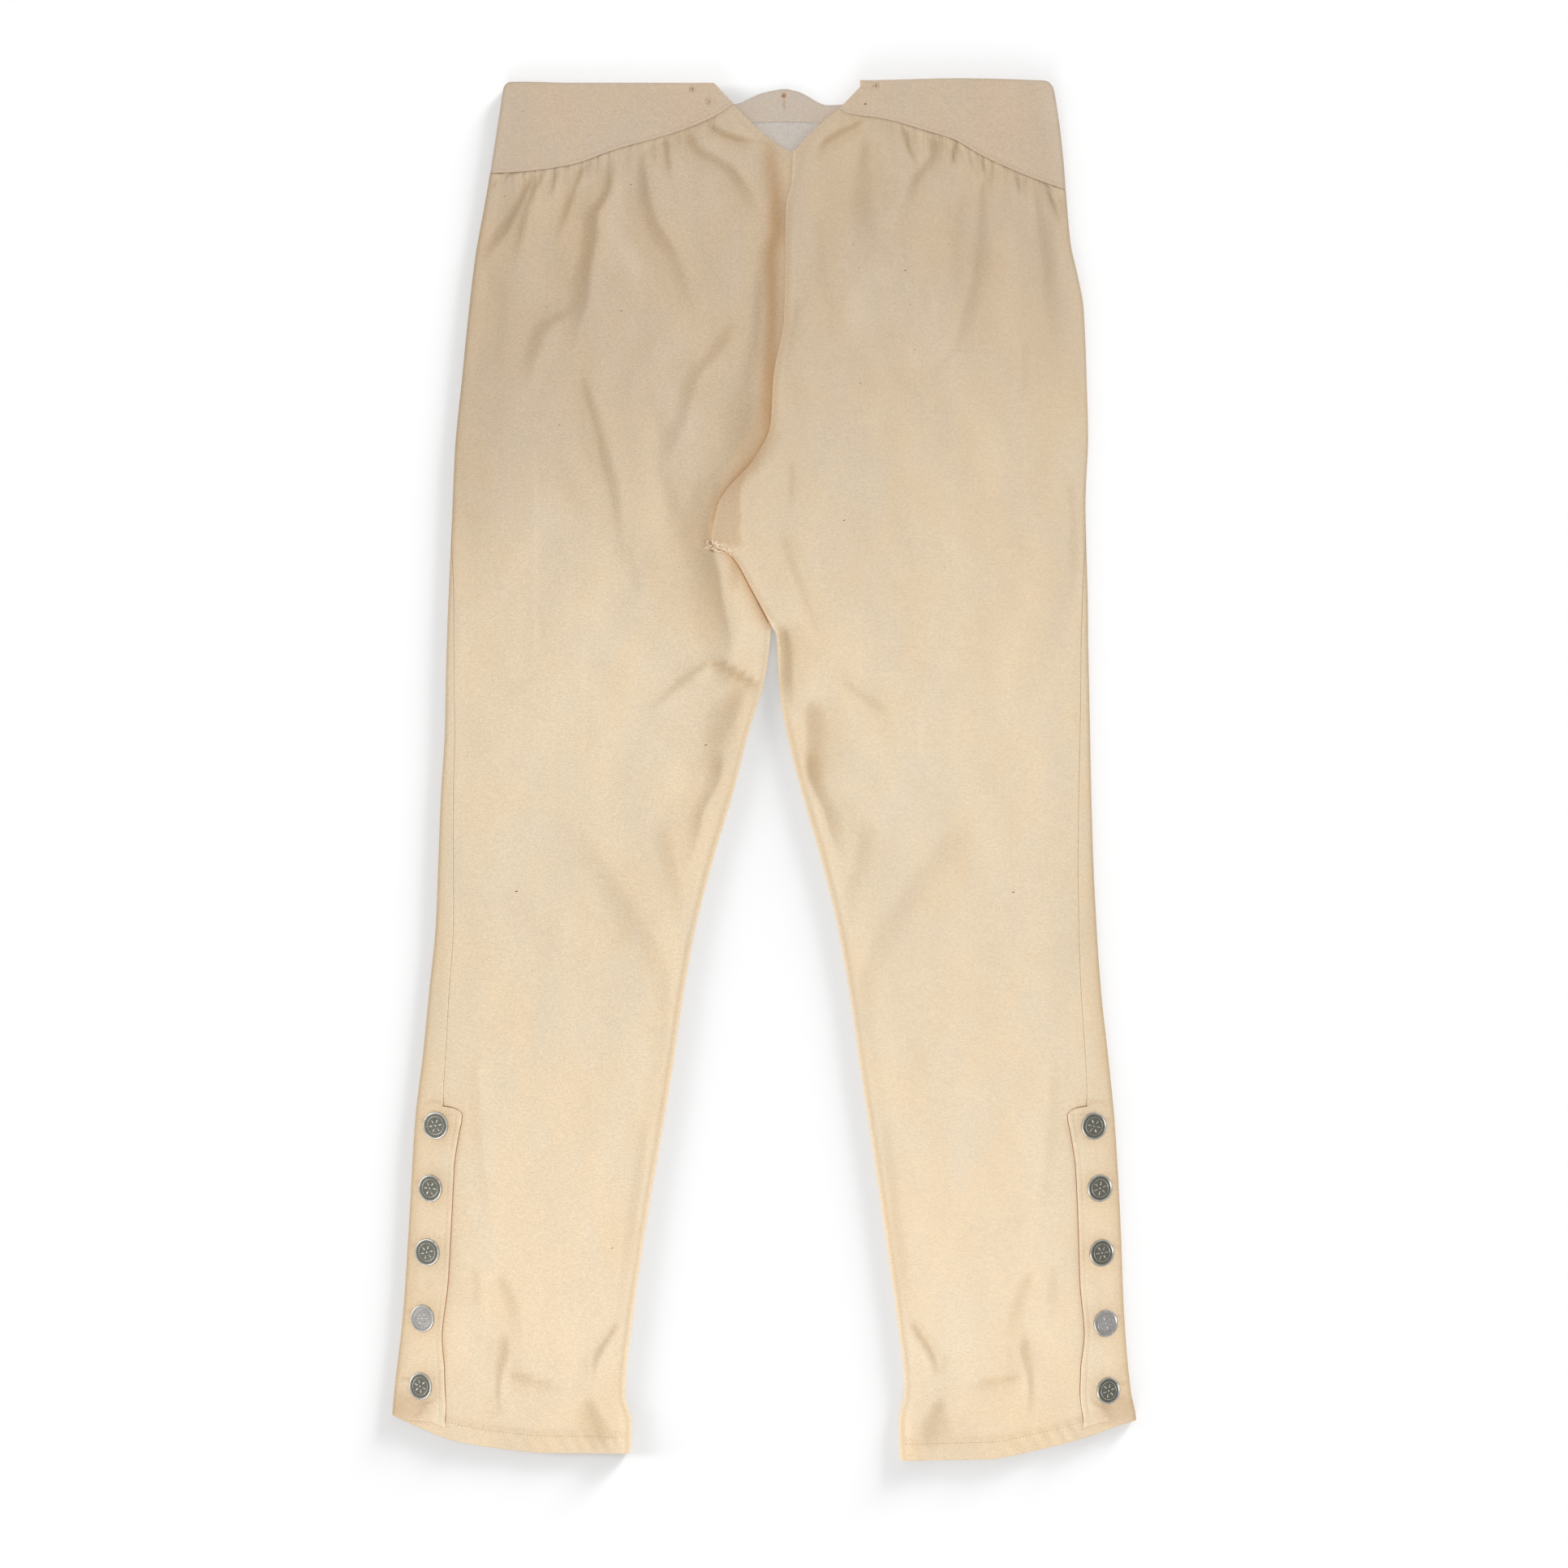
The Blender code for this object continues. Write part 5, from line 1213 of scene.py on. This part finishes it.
def piece_from(made, name):
    """An object of a finished bmesh, whose points are in millimetres."""
    bmesh.ops.scale(made, vec=(MILLIMETRE,) * 3, verts=made.verts)
    mesh = bpy.data.meshes.new(name)
    made.to_mesh(mesh)
    made.free()
    mesh.shade_smooth()
    piece = bpy.data.objects.new(name, mesh)
    bpy.context.scene.collection.objects.link(piece)
    return piece


# Thread
def turned_to(middle, along, size):
    """Placing of a shape at a point, with its length along a direction and its height up."""
    forward = Vector(along).normalized()
    aside = Vector((0, 0, 1)).cross(forward).normalized()
    turn = Matrix((forward, aside, forward.cross(aside))).transposed().to_4x4()
    return Matrix.Translation(middle) @ turn @ Matrix.Diagonal((*size, 1.0))


def add_stitch(made, middle, along, length, width):
    bmesh.ops.create_icosphere(made, subdivisions=1, radius=0.5,
                               matrix=turned_to(middle, along, (length, width, width * 0.7)))


# Rows of stitches: how far from one stitch to the next, and how long and wide each is
Row = namedtuple("Row", "pitch length width")
HEM_ROW, FLAP_ROW, BAND_ROW = table(Row, (2.7, 1.9, 0.6), (2.5, 1.7, 0.42), (2.6, 1.8, 0.34))
# The second and third rows lay stitches close enough to make a dark line of painted shade.
RIM_ROW, EDGE_ROW, CROTCH_ROW = table(Row, (1.2, 1.7, 0.5), (1.0, 1.5, 0.75), (0.9, 1.5, 1.0))


def sew(made, line, row):
    """Stitches one after another along a line of points."""
    gone = np.concatenate(([0], np.cumsum(np.linalg.norm(np.diff(line, axis=0), axis=1))))
    for number in range(int(gone[-1] / row.pitch)):
        start, stop = (np.array([np.interp(at, gone, line[:, axis]) for axis in range(3)])
                       for at in (number * row.pitch, number * row.pitch + row.length))
        add_stitch(made, (start + stop) / 2, stop - start, row.length, row.width)


def leg_at(x, y):
    """The leg whose back panel shows beside the centre back."""
    return LEFT if x < read(CENTRE_BACK, "x", y) else RIGHT


def level_at(height, leg, x, y):
    """Height of a sheet's middle at one place."""
    return float(height(leg, np.array([x]), np.array([y]))[0])


def line_on_back(leg, x, y, lift):
    """A line of points on the upper face of a back panel."""
    return np.stack((x, y, back_height(leg, x, y) + CLOTH / 2 + lift), axis=1)


def side_top(leg, y, length):
    """Upper face of the cloth that comes round the side, a length up from its outermost line."""
    x, z = wrapped_point(leg, y, length)
    return np.stack((x, y, z + CLOTH / 2), axis=1)


def hem_line(leg):
    start = read(leg.sections, "outer", HEM_LEVEL) - leg.side * (side_inset(HEM_LEVEL) + 1.5)
    stop = read(leg.sections, "inner", -515.0) + leg.side * 3.0
    x = np.linspace(start, stop, 160)
    return line_on_back(leg, x, read(leg.hem, "y", x) + HEM_STITCHES, 0.3)


def flap_foot(leg):
    return read(leg.hem, "y", leg.side * 255.0) + FLAP_RISE


def flap_line(leg):
    """Across the top of the flap and down beside its free edge."""
    y = np.linspace(FLAP_TOP - 5.5, flap_foot(leg) + 1, 200)
    down = side_top(leg, y, side_inset(y) - EDGE_STITCHES)
    length = np.linspace(side_inset(-250.0) + 1, side_inset(y[0]) - EDGE_STITCHES, 24)
    return np.concatenate((side_top(leg, np.full(24, y[0]), length), down))


def band_line(leg):
    x = np.linspace(read(leg.sections, "outer", 470.0) - leg.side * 5, leg.end + leg.side * 2, 200)
    y = read(leg.lower, "y", x) + BAND_STITCHES
    z = band_height(leg, x, y) + band_relief(leg, x, y, BAND_STITCHES) + BAND / 2
    return np.stack((x, y, z), axis=1)


def edge_line(leg):
    """A line of painted shade across the top of the flap, round its corner and along the foot of its free edge."""
    turn = np.linspace(0, math.pi / 2, 20)[:-1]
    seam, free = side_inset(FLAP_TOP + 4), side_inset(FLAP_TOP - 7)
    down = np.linspace(FLAP_TOP - 7, flap_foot(leg), 220)
    y = np.concatenate((FLAP_TOP + 1 - 8 * (1 - np.cos(turn)), down))
    inset = np.concatenate((mix(seam, free, np.sin(turn)), side_inset(down)))
    x = outer_start(leg, y) - leg.side * (inset + 0.35 - QUARTER)
    return line_on_back(leg, x, y, flap_lift(y) * (inset < free - 0.3) + 0.1)


def rim_line(leg):
    y = np.linspace(-505.0, 92.0, 400)
    return line_on_back(leg, read(leg.sections, "inner", y) + leg.side * RIM_LINE, y, -0.12)


def crotch_shade_line():
    """A line of painted shadow along the foot of the right panel's edge where it crosses the left one."""
    y = np.linspace(168.0, 114.0, 70)
    return line_on_back(LEFT, read(CENTRE_BACK, "x", y) - 0.8, y, 0.2)


def add_side_stitch(made, leg, y, length, along, size, width):
    spot = side_top(leg, np.array([y]), np.array([length]))[0]
    add_stitch(made, spot, along, size, width)


def add_buttonhole(made, leg, button):
    """Close stitches along both sides and round the outer end of a slot across the flap."""
    near = (read(leg.sections, "outer", button.y) - button.x) * leg.side + HOLE_PAST_BUTTON
    far = near - HOLE_LENGTH
    y = button.y + HOLE_RISE
    for length in np.arange(far, near, HOLE_PITCH):
        for way in (-1, 1):
            add_side_stitch(made, leg, y + way * HOLE_HALF_WIDTH, length, (0.12, way, 0), 1.7, 0.6)
    for turn in np.linspace(-math.pi / 2, math.pi / 2, HOLE_END_STITCHES):
        length, up = far - HOLE_END_RADIUS * math.cos(turn), HOLE_END_RADIUS * math.sin(turn)
        add_side_stitch(made, leg, y + up, length, (leg.side * math.cos(turn), math.sin(turn), 0), 1.7, 0.6)


def add_bar(made, leg):
    """The worked bar that ends the opening, above the top button."""
    for number in range(BAR_STITCHES):
        level = -257.5 - 3.2 * abs(number / 7 - 1) ** 3
        for way in (-1, 1):
            add_side_stitch(made, leg, level + way * 0.9, 7.0 + number, (0.25 * way, 1, 0), 2.0, 0.7)


def add_eyelet(made, leg, eyelet):
    """Stitches radiating from a small pierced hole."""
    level = float(band_height(leg, eyelet.x, eyelet.y)) + BAND / 2 - 0.35
    for step in range(EYELET_STITCHES):
        turn = 2 * math.pi * step / EYELET_STITCHES + 0.2 * math.sin(5.0 * step)
        reach = eyelet.size * (1 + 0.12 * math.sin(3.7 * step))
        way = Vector((math.cos(turn), math.sin(turn), 0))
        middle = Vector((eyelet.x, eyelet.y, level)) + way * reach
        add_stitch(made, middle, (way.x, way.y, 0.15), 2.0, 0.62)


def add_loose_stitch(made, x, y, lift, along, length, width):
    """A bit of thread that lies loose on the back panels."""
    level = level_at(back_height, leg_at(x, y), x, y) + CLOTH / 2 + lift
    add_stitch(made, (x, y, level), along, length, width)


def add_seam_end():
    """Where the centre-back seam ends: a tuft of loose pale threads, with a few brown ones in it."""
    made = bmesh.new()
    for number in range(FRAYED_STITCHES):
        turn = 2.4 * number
        x = -36.0 + 10.0 * math.sin(1.7 * number) * math.cos(0.6 * number)
        y = 171.5 - 0.3 * (x + 35.0) + 3.0 * math.sin(2.9 * number)
        along = (math.cos(turn), 0.7 * math.sin(turn), 0.12 * math.sin(turn))
        add_loose_stitch(made, x, y, 0.25 + 0.02 * (number % 9), along, 4.2 + 1.7 * math.sin(number), 0.95)
    dress(piece_from(made, "frayed_end_left"), ("frayed_thread",))
    made = bmesh.new()
    for number in range(SEAM_END_STITCHES):
        turn = 1.9 * number
        x = -31.5 + 3.6 * math.sin(1.3 * number)
        y = 170.0 - 0.5 * (x + 31.5) + 2.0 * math.sin(2.3 * number)
        add_loose_stitch(made, x, y, 0.5, (math.cos(turn), 0.8 * math.sin(turn), 0.1), 2.6, 0.6)
    dress(piece_from(made, "seam_end_left"), ("seam_line",))


def add_sewing():
    for leg, word in LEGS:
        lines = {
            "stitches": ("thread", (hem_line(leg), HEM_ROW), (flap_line(leg), FLAP_ROW), (band_line(leg), BAND_ROW)),
            "seam_line": ("seam_line", (rim_line(leg), RIM_ROW)),
            # the flap line pieces are dark lines of painted shade
            "flap_line": ("edge_line", (edge_line(leg), EDGE_ROW)),
        }
        if leg.side < 0:
            lines["flap_line"] += ((crotch_shade_line(), CROTCH_ROW),)
        for name, (finish, *sewn) in lines.items():
            made = bmesh.new()
            for line, row in sewn:
                sew(made, line, row)
            dress(piece_from(made, f"{name}_{word}"), (finish,))
        holes, eyelets = bmesh.new(), bmesh.new()
        add_bar(holes, leg)
        for button in leg.buttons:
            add_buttonhole(holes, leg, button)
        for eyelet in leg.eyelets:
            add_eyelet(eyelets, leg, eyelet)
        dress(piece_from(holes, "buttonholes_" + word), ("buttonhole_thread",))
        dress(piece_from(eyelets, "eyelets_" + word), ("eyelet_thread",))
    add_seam_end()


# Buttons
def set_finish(made, before, finish):
    """Give the faces that were added since before one of the piece's materials."""
    for face in made.faces:
        if face not in before:
            face.material_index = finish


def spin_round(made, line):
    """A ring of faces from a line, turned round the Z axis."""
    bmesh.ops.spin(made, geom=line, cent=(0, 0, 0), axis=(0, 0, 1), steps=BUTTON_STEPS, angle=2 * math.pi,
                   use_merge=True)


def add_turning(made, profile, lift, finish):
    """A part of a button, from its half-section."""
    before = set(made.faces)
    verts = [made.verts.new((radius, 0, lift + height)) for radius, height in profile]
    spin_round(made, verts + [made.edges.new(pair) for pair in zip(verts, verts[1:])])
    bmesh.ops.remove_doubles(made, verts=made.verts, dist=SAME_POINT)
    set_finish(made, before, finish)


def add_motif(made, top):
    """A raised rosette inside a plain ring."""
    before = set(made.faces)
    petal = Matrix.Translation((3.9, 0, top)) @ Matrix.Diagonal((3.6, 1.15, 0.9, 1.0))
    shapes = [Matrix.Rotation(2 * math.pi * number / PETALS, 4, "Z") @ petal for number in range(PETALS)]
    shapes.append(Matrix.Translation((0, 0, top + 0.05)) @ Matrix.Diagonal((1.7, 1.7, 1.1, 1.0)))
    for shape in shapes:
        bmesh.ops.create_icosphere(made, subdivisions=2, radius=0.5, matrix=shape)
    upright = Matrix.Translation((6.9, 0, top - 0.05)) @ Matrix.Rotation(math.pi / 2, 4, "X")
    ring = bmesh.ops.create_circle(made, segments=6, radius=0.24, matrix=upright)["verts"]
    spin_round(made, ring + list(dict.fromkeys(edge for vert in ring for edge in vert.link_edges)))
    set_finish(made, before, RIM_FINISH)


def add_button(name, leg, button, field):
    """A shank button that stands on the flap and leans out until its rim nears the cloth."""
    lean = math.radians(button.lean)
    stand = BUTTON_RADIUS * math.sin(lean) + RIM_CLEARANCE
    shank = stand / math.cos(lean) - SHANK_SINK
    foot_x = button.x - leg.side * (shank + FACE_RISE) * math.sin(lean)
    flap = level_at(panel_height, leg, foot_x, float(button.y)) + float(flap_lift(button.y)) + CLOTH / 2
    foot_z = flap + SEAM + SHANK_RADIUS * math.sin(lean)
    made = bmesh.new()
    add_turning(made, ((0.0, -shank), (SHANK_RADIUS, -shank), *BUTTON_BACK), shank, BACK_FINISH)
    add_turning(made, BUTTON_RIM, shank, RIM_FINISH)
    add_turning(made, BUTTON_FIELD, shank, FIELD_FINISH)
    add_motif(made, shank + BUTTON_FIELD[-1][1] - 0.1)
    bmesh.ops.remove_doubles(made, verts=made.verts, dist=SAME_POINT)
    bmesh.ops.recalc_face_normals(made, faces=made.faces)
    for angle, axis in ((math.radians(button.turn), "Z"), (leg.side * lean, "Y")):
        bmesh.ops.rotate(made, cent=(0, 0, 0), matrix=Matrix.Rotation(angle, 3, axis), verts=made.verts)
    bmesh.ops.translate(made, vec=(foot_x, button.y, foot_z), verts=made.verts)
    dress(piece_from(made, "metal_" + name), ("pewter", field, "brass"), name)


# The pieces
WARM_TROUGH = table(Allowance, (276, 2.5), (321.3, 3.8), (354.7, 5.7), (395.6, 5), (421, 9.5), (455.5, 7.6),
                    (478, 3.2))
BACK_COLUMNS = spread((0, 0.5, 5), (0.5, 3, 5), (3, 15, 112), (15, 21, 14))
BACK_ROWS = spread((-520, -519, 3), (-519, -496, 22), (-496, -268, 57), (-268, -256, 8), (-256, 90, 86),
                   (90, 270, 72), (270, 400, 36), (400, 499, 66), (499, 500, 3))
FRONT_COLUMNS = spread((-1, 0, 8), (0, 1, 24), (1, 2, 46), (2, 3, 4))
FRONT_ROWS = spread((-520, -519, 3), (-519, -496, 22), (-496, -280, 60), (-280, -256, 40), (-256, 460, 110),
                    (460, 499, 10), (499, 500, 3))
BAND_COLUMNS = spread((0, 1, 8), (1, 2, 190))
BAND_ROWS = spread((-1, 0, 16), (0, 1, 28))
FRONT_BAND_COLUMNS = spread((-1, 0, 8), (0, 1, 120), (1, 2, 8))
FRONT_BAND_ROWS = spread((0, 1, 24))
LINING_COLUMNS = spread((0, 1, 60))
LINING_ROWS = spread((0, 1, 40))


def outer_rim(leg, x, y):
    """How much painted shade a point gets towards the outer edge, which turns away from the light."""
    reach = mix(3.0, 6.5, ease((120 - y) / 350))
    shade = np.exp(-np.maximum((read(leg.sections, "outer", y) - x) * leg.side, 0) / reach)
    return shade * mix(0.75, 0.95, ease((200 - y) / 300)) * (1.0 if leg.side < 0 else ease((300 - y) / 100))


def back_marks(leg, x, y):
    """How much painted shade a point gets on fold slopes, rims, hem and crotch, how much warm painted shade it gets,
    and where the cloth is gathered.
    """
    below = top_line(leg, x) - y
    above = y - read(leg.hem, "y", x) - HEM_STITCHES
    # hem: painted shade below the hem's row of stitches, in a line just above it, and faintly over the lowest 80 mm
    hem = 0.25 * ease(-above / 3) + 0.3 * bump(above - 2, 3.5) + 0.15 * ease((80 - above) / 60) * ease(above / 3)
    folds = creases(leg, x, y)[1] * ease((below - TUCK_END + 3) / TUCK_FADE)
    # Painted shade on fold slopes, towards the outer rim and at the hem
    painted_shades = [folds, outer_rim(leg, x, y), hem]
    rim = 1 - ease(from_inner(leg, x, y) / 3 - 0.2)
    if leg.side < 0:
        trough = x - read(WARM_TROUGH, "x", y)
        beside = np.maximum(read(CENTRE_BACK, "x", y) - x, 0)
        deep = bump(beside, mix(8, 34, ease((y - 190) / 55))) * stretch(y, 182, 15, 330, 60)
        seam = np.exp(-beside / 6) * stretch(y, 106, 6, 168, 8)
        beneath = bump(y - 30, 48) * bump(x + 22 + 0.27 * (45 - y), 14)
        # Left leg: painted shade along the inner rim, in the trough beside the centre fold, beside the centre back's
        # lower part, along the crotch seam and in a patch below the crotch
        painted_shades += [0.4 * rim * (1 - open_leg(leg, y)), 0.75 * bump(trough, 8.0) * stretch(y, 240, 60, 480, 60),
                    0.9 * deep, 0.9 * seam, 0.5 * beneath]
        # Warm painted shade in the trough beside the centre fold and along the strip beside the centre back
        warm = np.maximum(bump(trough, 7.0) * stretch(y, 225, 60, 500, 30),
                          np.exp(-beside / 6) * stretch(y, 104, 14, 330, 60))
    else:
        inside = bump(from_inner(leg, x, y) - 4, 6) * bump(y - 238, 28)
        # Right leg: painted shade along the inner rim below the crotch and in a strip inside the centre fold's edge
        painted_shades += [0.4 * rim * ease((104 - y) / 10), 0.6 * inside]
        # Warm painted shade along the rim of the right panel's centre fold and over the seam allowances beside the
        # crotch seam
        edge = rim * (0.5 + 0.45 * bump(y - 228, 32))
        warm = np.maximum(edge * stretch(y, 112, 10, 470, 50), 0.75 * crotch_step(x, y))
    pucker = tuck_share(leg, x) * ease((below - TUCK_END + 4) / 4) * np.exp(-np.maximum(below - TUCK, 0) / 17)
    pucker = pucker * mix(0.35, 1.0, outer_gathers(x))
    return {"valley": np.maximum.reduce(painted_shades), "warm": warm, "pucker": pucker}


# Painted shade towards the outer edge of a front panel.
def front_marks(leg, x, y):
    return {"valley": outer_rim(leg, x, y)}


def hem_allowance(leg, x, y):
    """The turned-up hem makes the back panel thicker up to its row of stitches."""
    return 0.5 * (1 - ease((y - read(leg.hem, "y", x) - HEM_STITCHES + 0.5) / 1.5))


def lay_cloth():
    for leg, word in LEGS:
        front = cloth("front_" + word, FRONT_COLUMNS, FRONT_ROWS, partial(front_points, leg), CLOTH, "cream_twill",
                      partial(front_marks, leg))
        back = cloth("back_" + word, BACK_COLUMNS, BACK_ROWS, partial(back_points, leg), CLOTH, "cream_twill",
                     partial(back_marks, leg), partial(hem_allowance, leg))
        band = cloth("waistband_back_" + word, BAND_COLUMNS, BAND_ROWS, partial(band_points, leg), BAND,
                     "band_twill")
    front_band = cloth("waistband_front", FRONT_BAND_COLUMNS, FRONT_BAND_ROWS, front_band_points, BAND,
                       "band_inside")
    lining = cloth("lining_front", LINING_COLUMNS, LINING_ROWS, lining_points, LINING / 2, "lining_white")


def add_buttons():
    for leg, word in LEGS:
        for number, button in enumerate(leg.buttons, start=1):
            add_button(f"button_{word}_{number}", leg, button, "field_pale" if number == 4 else "field_dark")


def add_flecks():
    made = bmesh.new()
    for x, y, length, turn in FLECKS:
        leg = leg_at(x, y)
        level = level_at(back_height, leg, x, y) + CLOTH / 2 + 0.1
        if y > read(leg.lower, "y", x):
            level = level_at(band_height, leg, x, y) + BAND / 2 + 0.15
        turn = math.radians(turn)
        add_stitch(made, (x, y, level), (math.cos(turn), math.sin(turn), 0), length, 0.35 + 0.15 * length)
    dress(piece_from(made, "flecks"), ("lint",))


def add_floor():
    made = bmesh.new()
    bmesh.ops.create_grid(made, x_segments=2, y_segments=2, size=FLOOR_SIZE,
                          matrix=Matrix.Translation((0, 0, FLOOR_DEPTH)))
    floor = piece_from(made, "floor")
    paper = new_material("paper_white", Base_Color=(FLOOR_GREY, FLOOR_GREY, FLOOR_GREY, 1), Roughness=0.9)[0]
    floor.data.materials.append(paper)


# Broad soft lights from far away. Each shines on one set of pieces and is shaded only by the sets named last. The
# legs are lit from the garment's middle outwards, and the floor softly from the sides, most from the right.
CREAM, WHITE = (1.0, 0.985, 0.96), (1.0, 1.0, 1.0)
Sun = namedtuple("Sun", "name towards width strength colour lit shading")
SUNS = table(
    Sun,
    ("light_left", (0.70, -0.1, 0.71), 35.0, 1.85, CREAM, "left", ("left",)),
    ("light_right", (-0.70, -0.1, 0.71), 35.0, 1.85, CREAM, "right", ("right",)),
    ("fill_left", (-0.9, 0.1, 0.3), 60.0, 0.6, CREAM, "left", ("left",)),
    ("fill_right", (0.9, 0.1, 0.3), 60.0, 0.6, CREAM, "right", ("right",)),
    ("light_middle", (0.1, -0.2, 1.0), 60.0, 1.3, CREAM, "middle", ("middle",)),
    ("light_metal", (-0.5, -0.45, 0.74), 30.0, 1.7, WHITE, "metal", ("metal",)),
    ("floor_right_low", (0.6, 0.75, 0.14), 16.0, 5.1, WHITE, "floor", ("left", "right", "middle")),
    ("floor_right", (0.68, 0.68, 0.25), 18.0, 1.5, WHITE, "floor", ("left", "right", "middle")),
    ("floor_right_more", (0.68, 0.68, 0.25), 18.0, 0.6, WHITE, "floor", ("left", "middle")),
    ("floor_left_low", (-0.95, 0.1, 0.2), 16.0, 2.8, WHITE, "floor", ("left",)),
    ("floor_left", (-0.9, 0.1, 0.34), 20.0, 1.05, WHITE, "floor", ("left",)),
    ("floor_side", (-0.95, 0.1, 0.27), 18.0, 0.48, WHITE, "floor", ("right",)),
    ("floor_foot", (-0.2, -0.9, 0.38), 26.0, 0.69, WHITE, "floor", ("left", "right", "middle")),
    ("floor_foot_low", (-0.2, -0.95, 0.22), 20.0, 0.95, WHITE, "floor", ("right", "middle")),
    # All the folds of a back panel: how far they lower it, and how much painted shade their slopes get.
    ("floor_above", (0.0, 0.0, 1.0), 30.0, 0.52, WHITE, "floor", ("middle",)),
)


def light_set(piece):
    """The set that a piece is lit with: a button, one of the two legs, or the waist's middle."""
    if piece.name == "floor":
        return "floor"
    return next((word for word in ("metal", "left", "right") if word in piece.name), "middle")


def collection_of(name, pieces):
    made = bpy.data.collections.new(name)
    for piece in pieces:
        made.objects.link(piece)
    return made


def add_lights():
    pieces = [piece for piece in bpy.data.objects if piece.type == "MESH"]
    for sun in SUNS:
        lamp = bpy.data.lights.new(sun.name, "SUN")
        lamp.energy = sun.strength
        lamp.angle = math.radians(sun.width)
        lamp.color = sun.colour
        light = bpy.data.objects.new(sun.name, lamp)
        light.rotation_euler = Vector(sun.towards).to_track_quat("Z", "Y").to_euler()
        bpy.context.scene.collection.objects.link(light)
        lit = [piece for piece in pieces if light_set(piece) == sun.lit]
        shading = [piece for piece in pieces if light_set(piece) in sun.shading]
        light.light_linking.receiver_collection = collection_of(sun.name + "_pieces", lit)
        light.light_linking.blocker_collection = collection_of(sun.name + "_shading", shading)
    world = bpy.data.worlds.new("studio")
    world.use_nodes = True
    world.node_tree.nodes["Background"].inputs["Color"].default_value = (1.0, 1.0, 1.0, 1)
    world.node_tree.nodes["Background"].inputs["Strength"].default_value = STUDIO_STRENGTH
    bpy.context.scene.world = world


def add_camera():
    scene = bpy.context.scene
    lens = bpy.data.cameras.new("camera")
    lens.lens = LENS
    lens.sensor_width = SENSOR_WIDTH
    lens.sensor_fit = "AUTO"
    lens.clip_end = FAR_LIMIT
    camera = bpy.data.objects.new("camera", lens)
    camera.location = (VIEW_X * MILLIMETRE, VIEW_Y * MILLIMETRE, VIEW_HEIGHT)
    scene.collection.objects.link(camera)
    scene.camera = camera
    scene.view_settings.view_transform = "Standard"
    scene.view_settings.look = "None"


lay_cloth()
add_sewing()
add_buttons()
add_flecks()
add_floor()
add_lights()
add_camera()
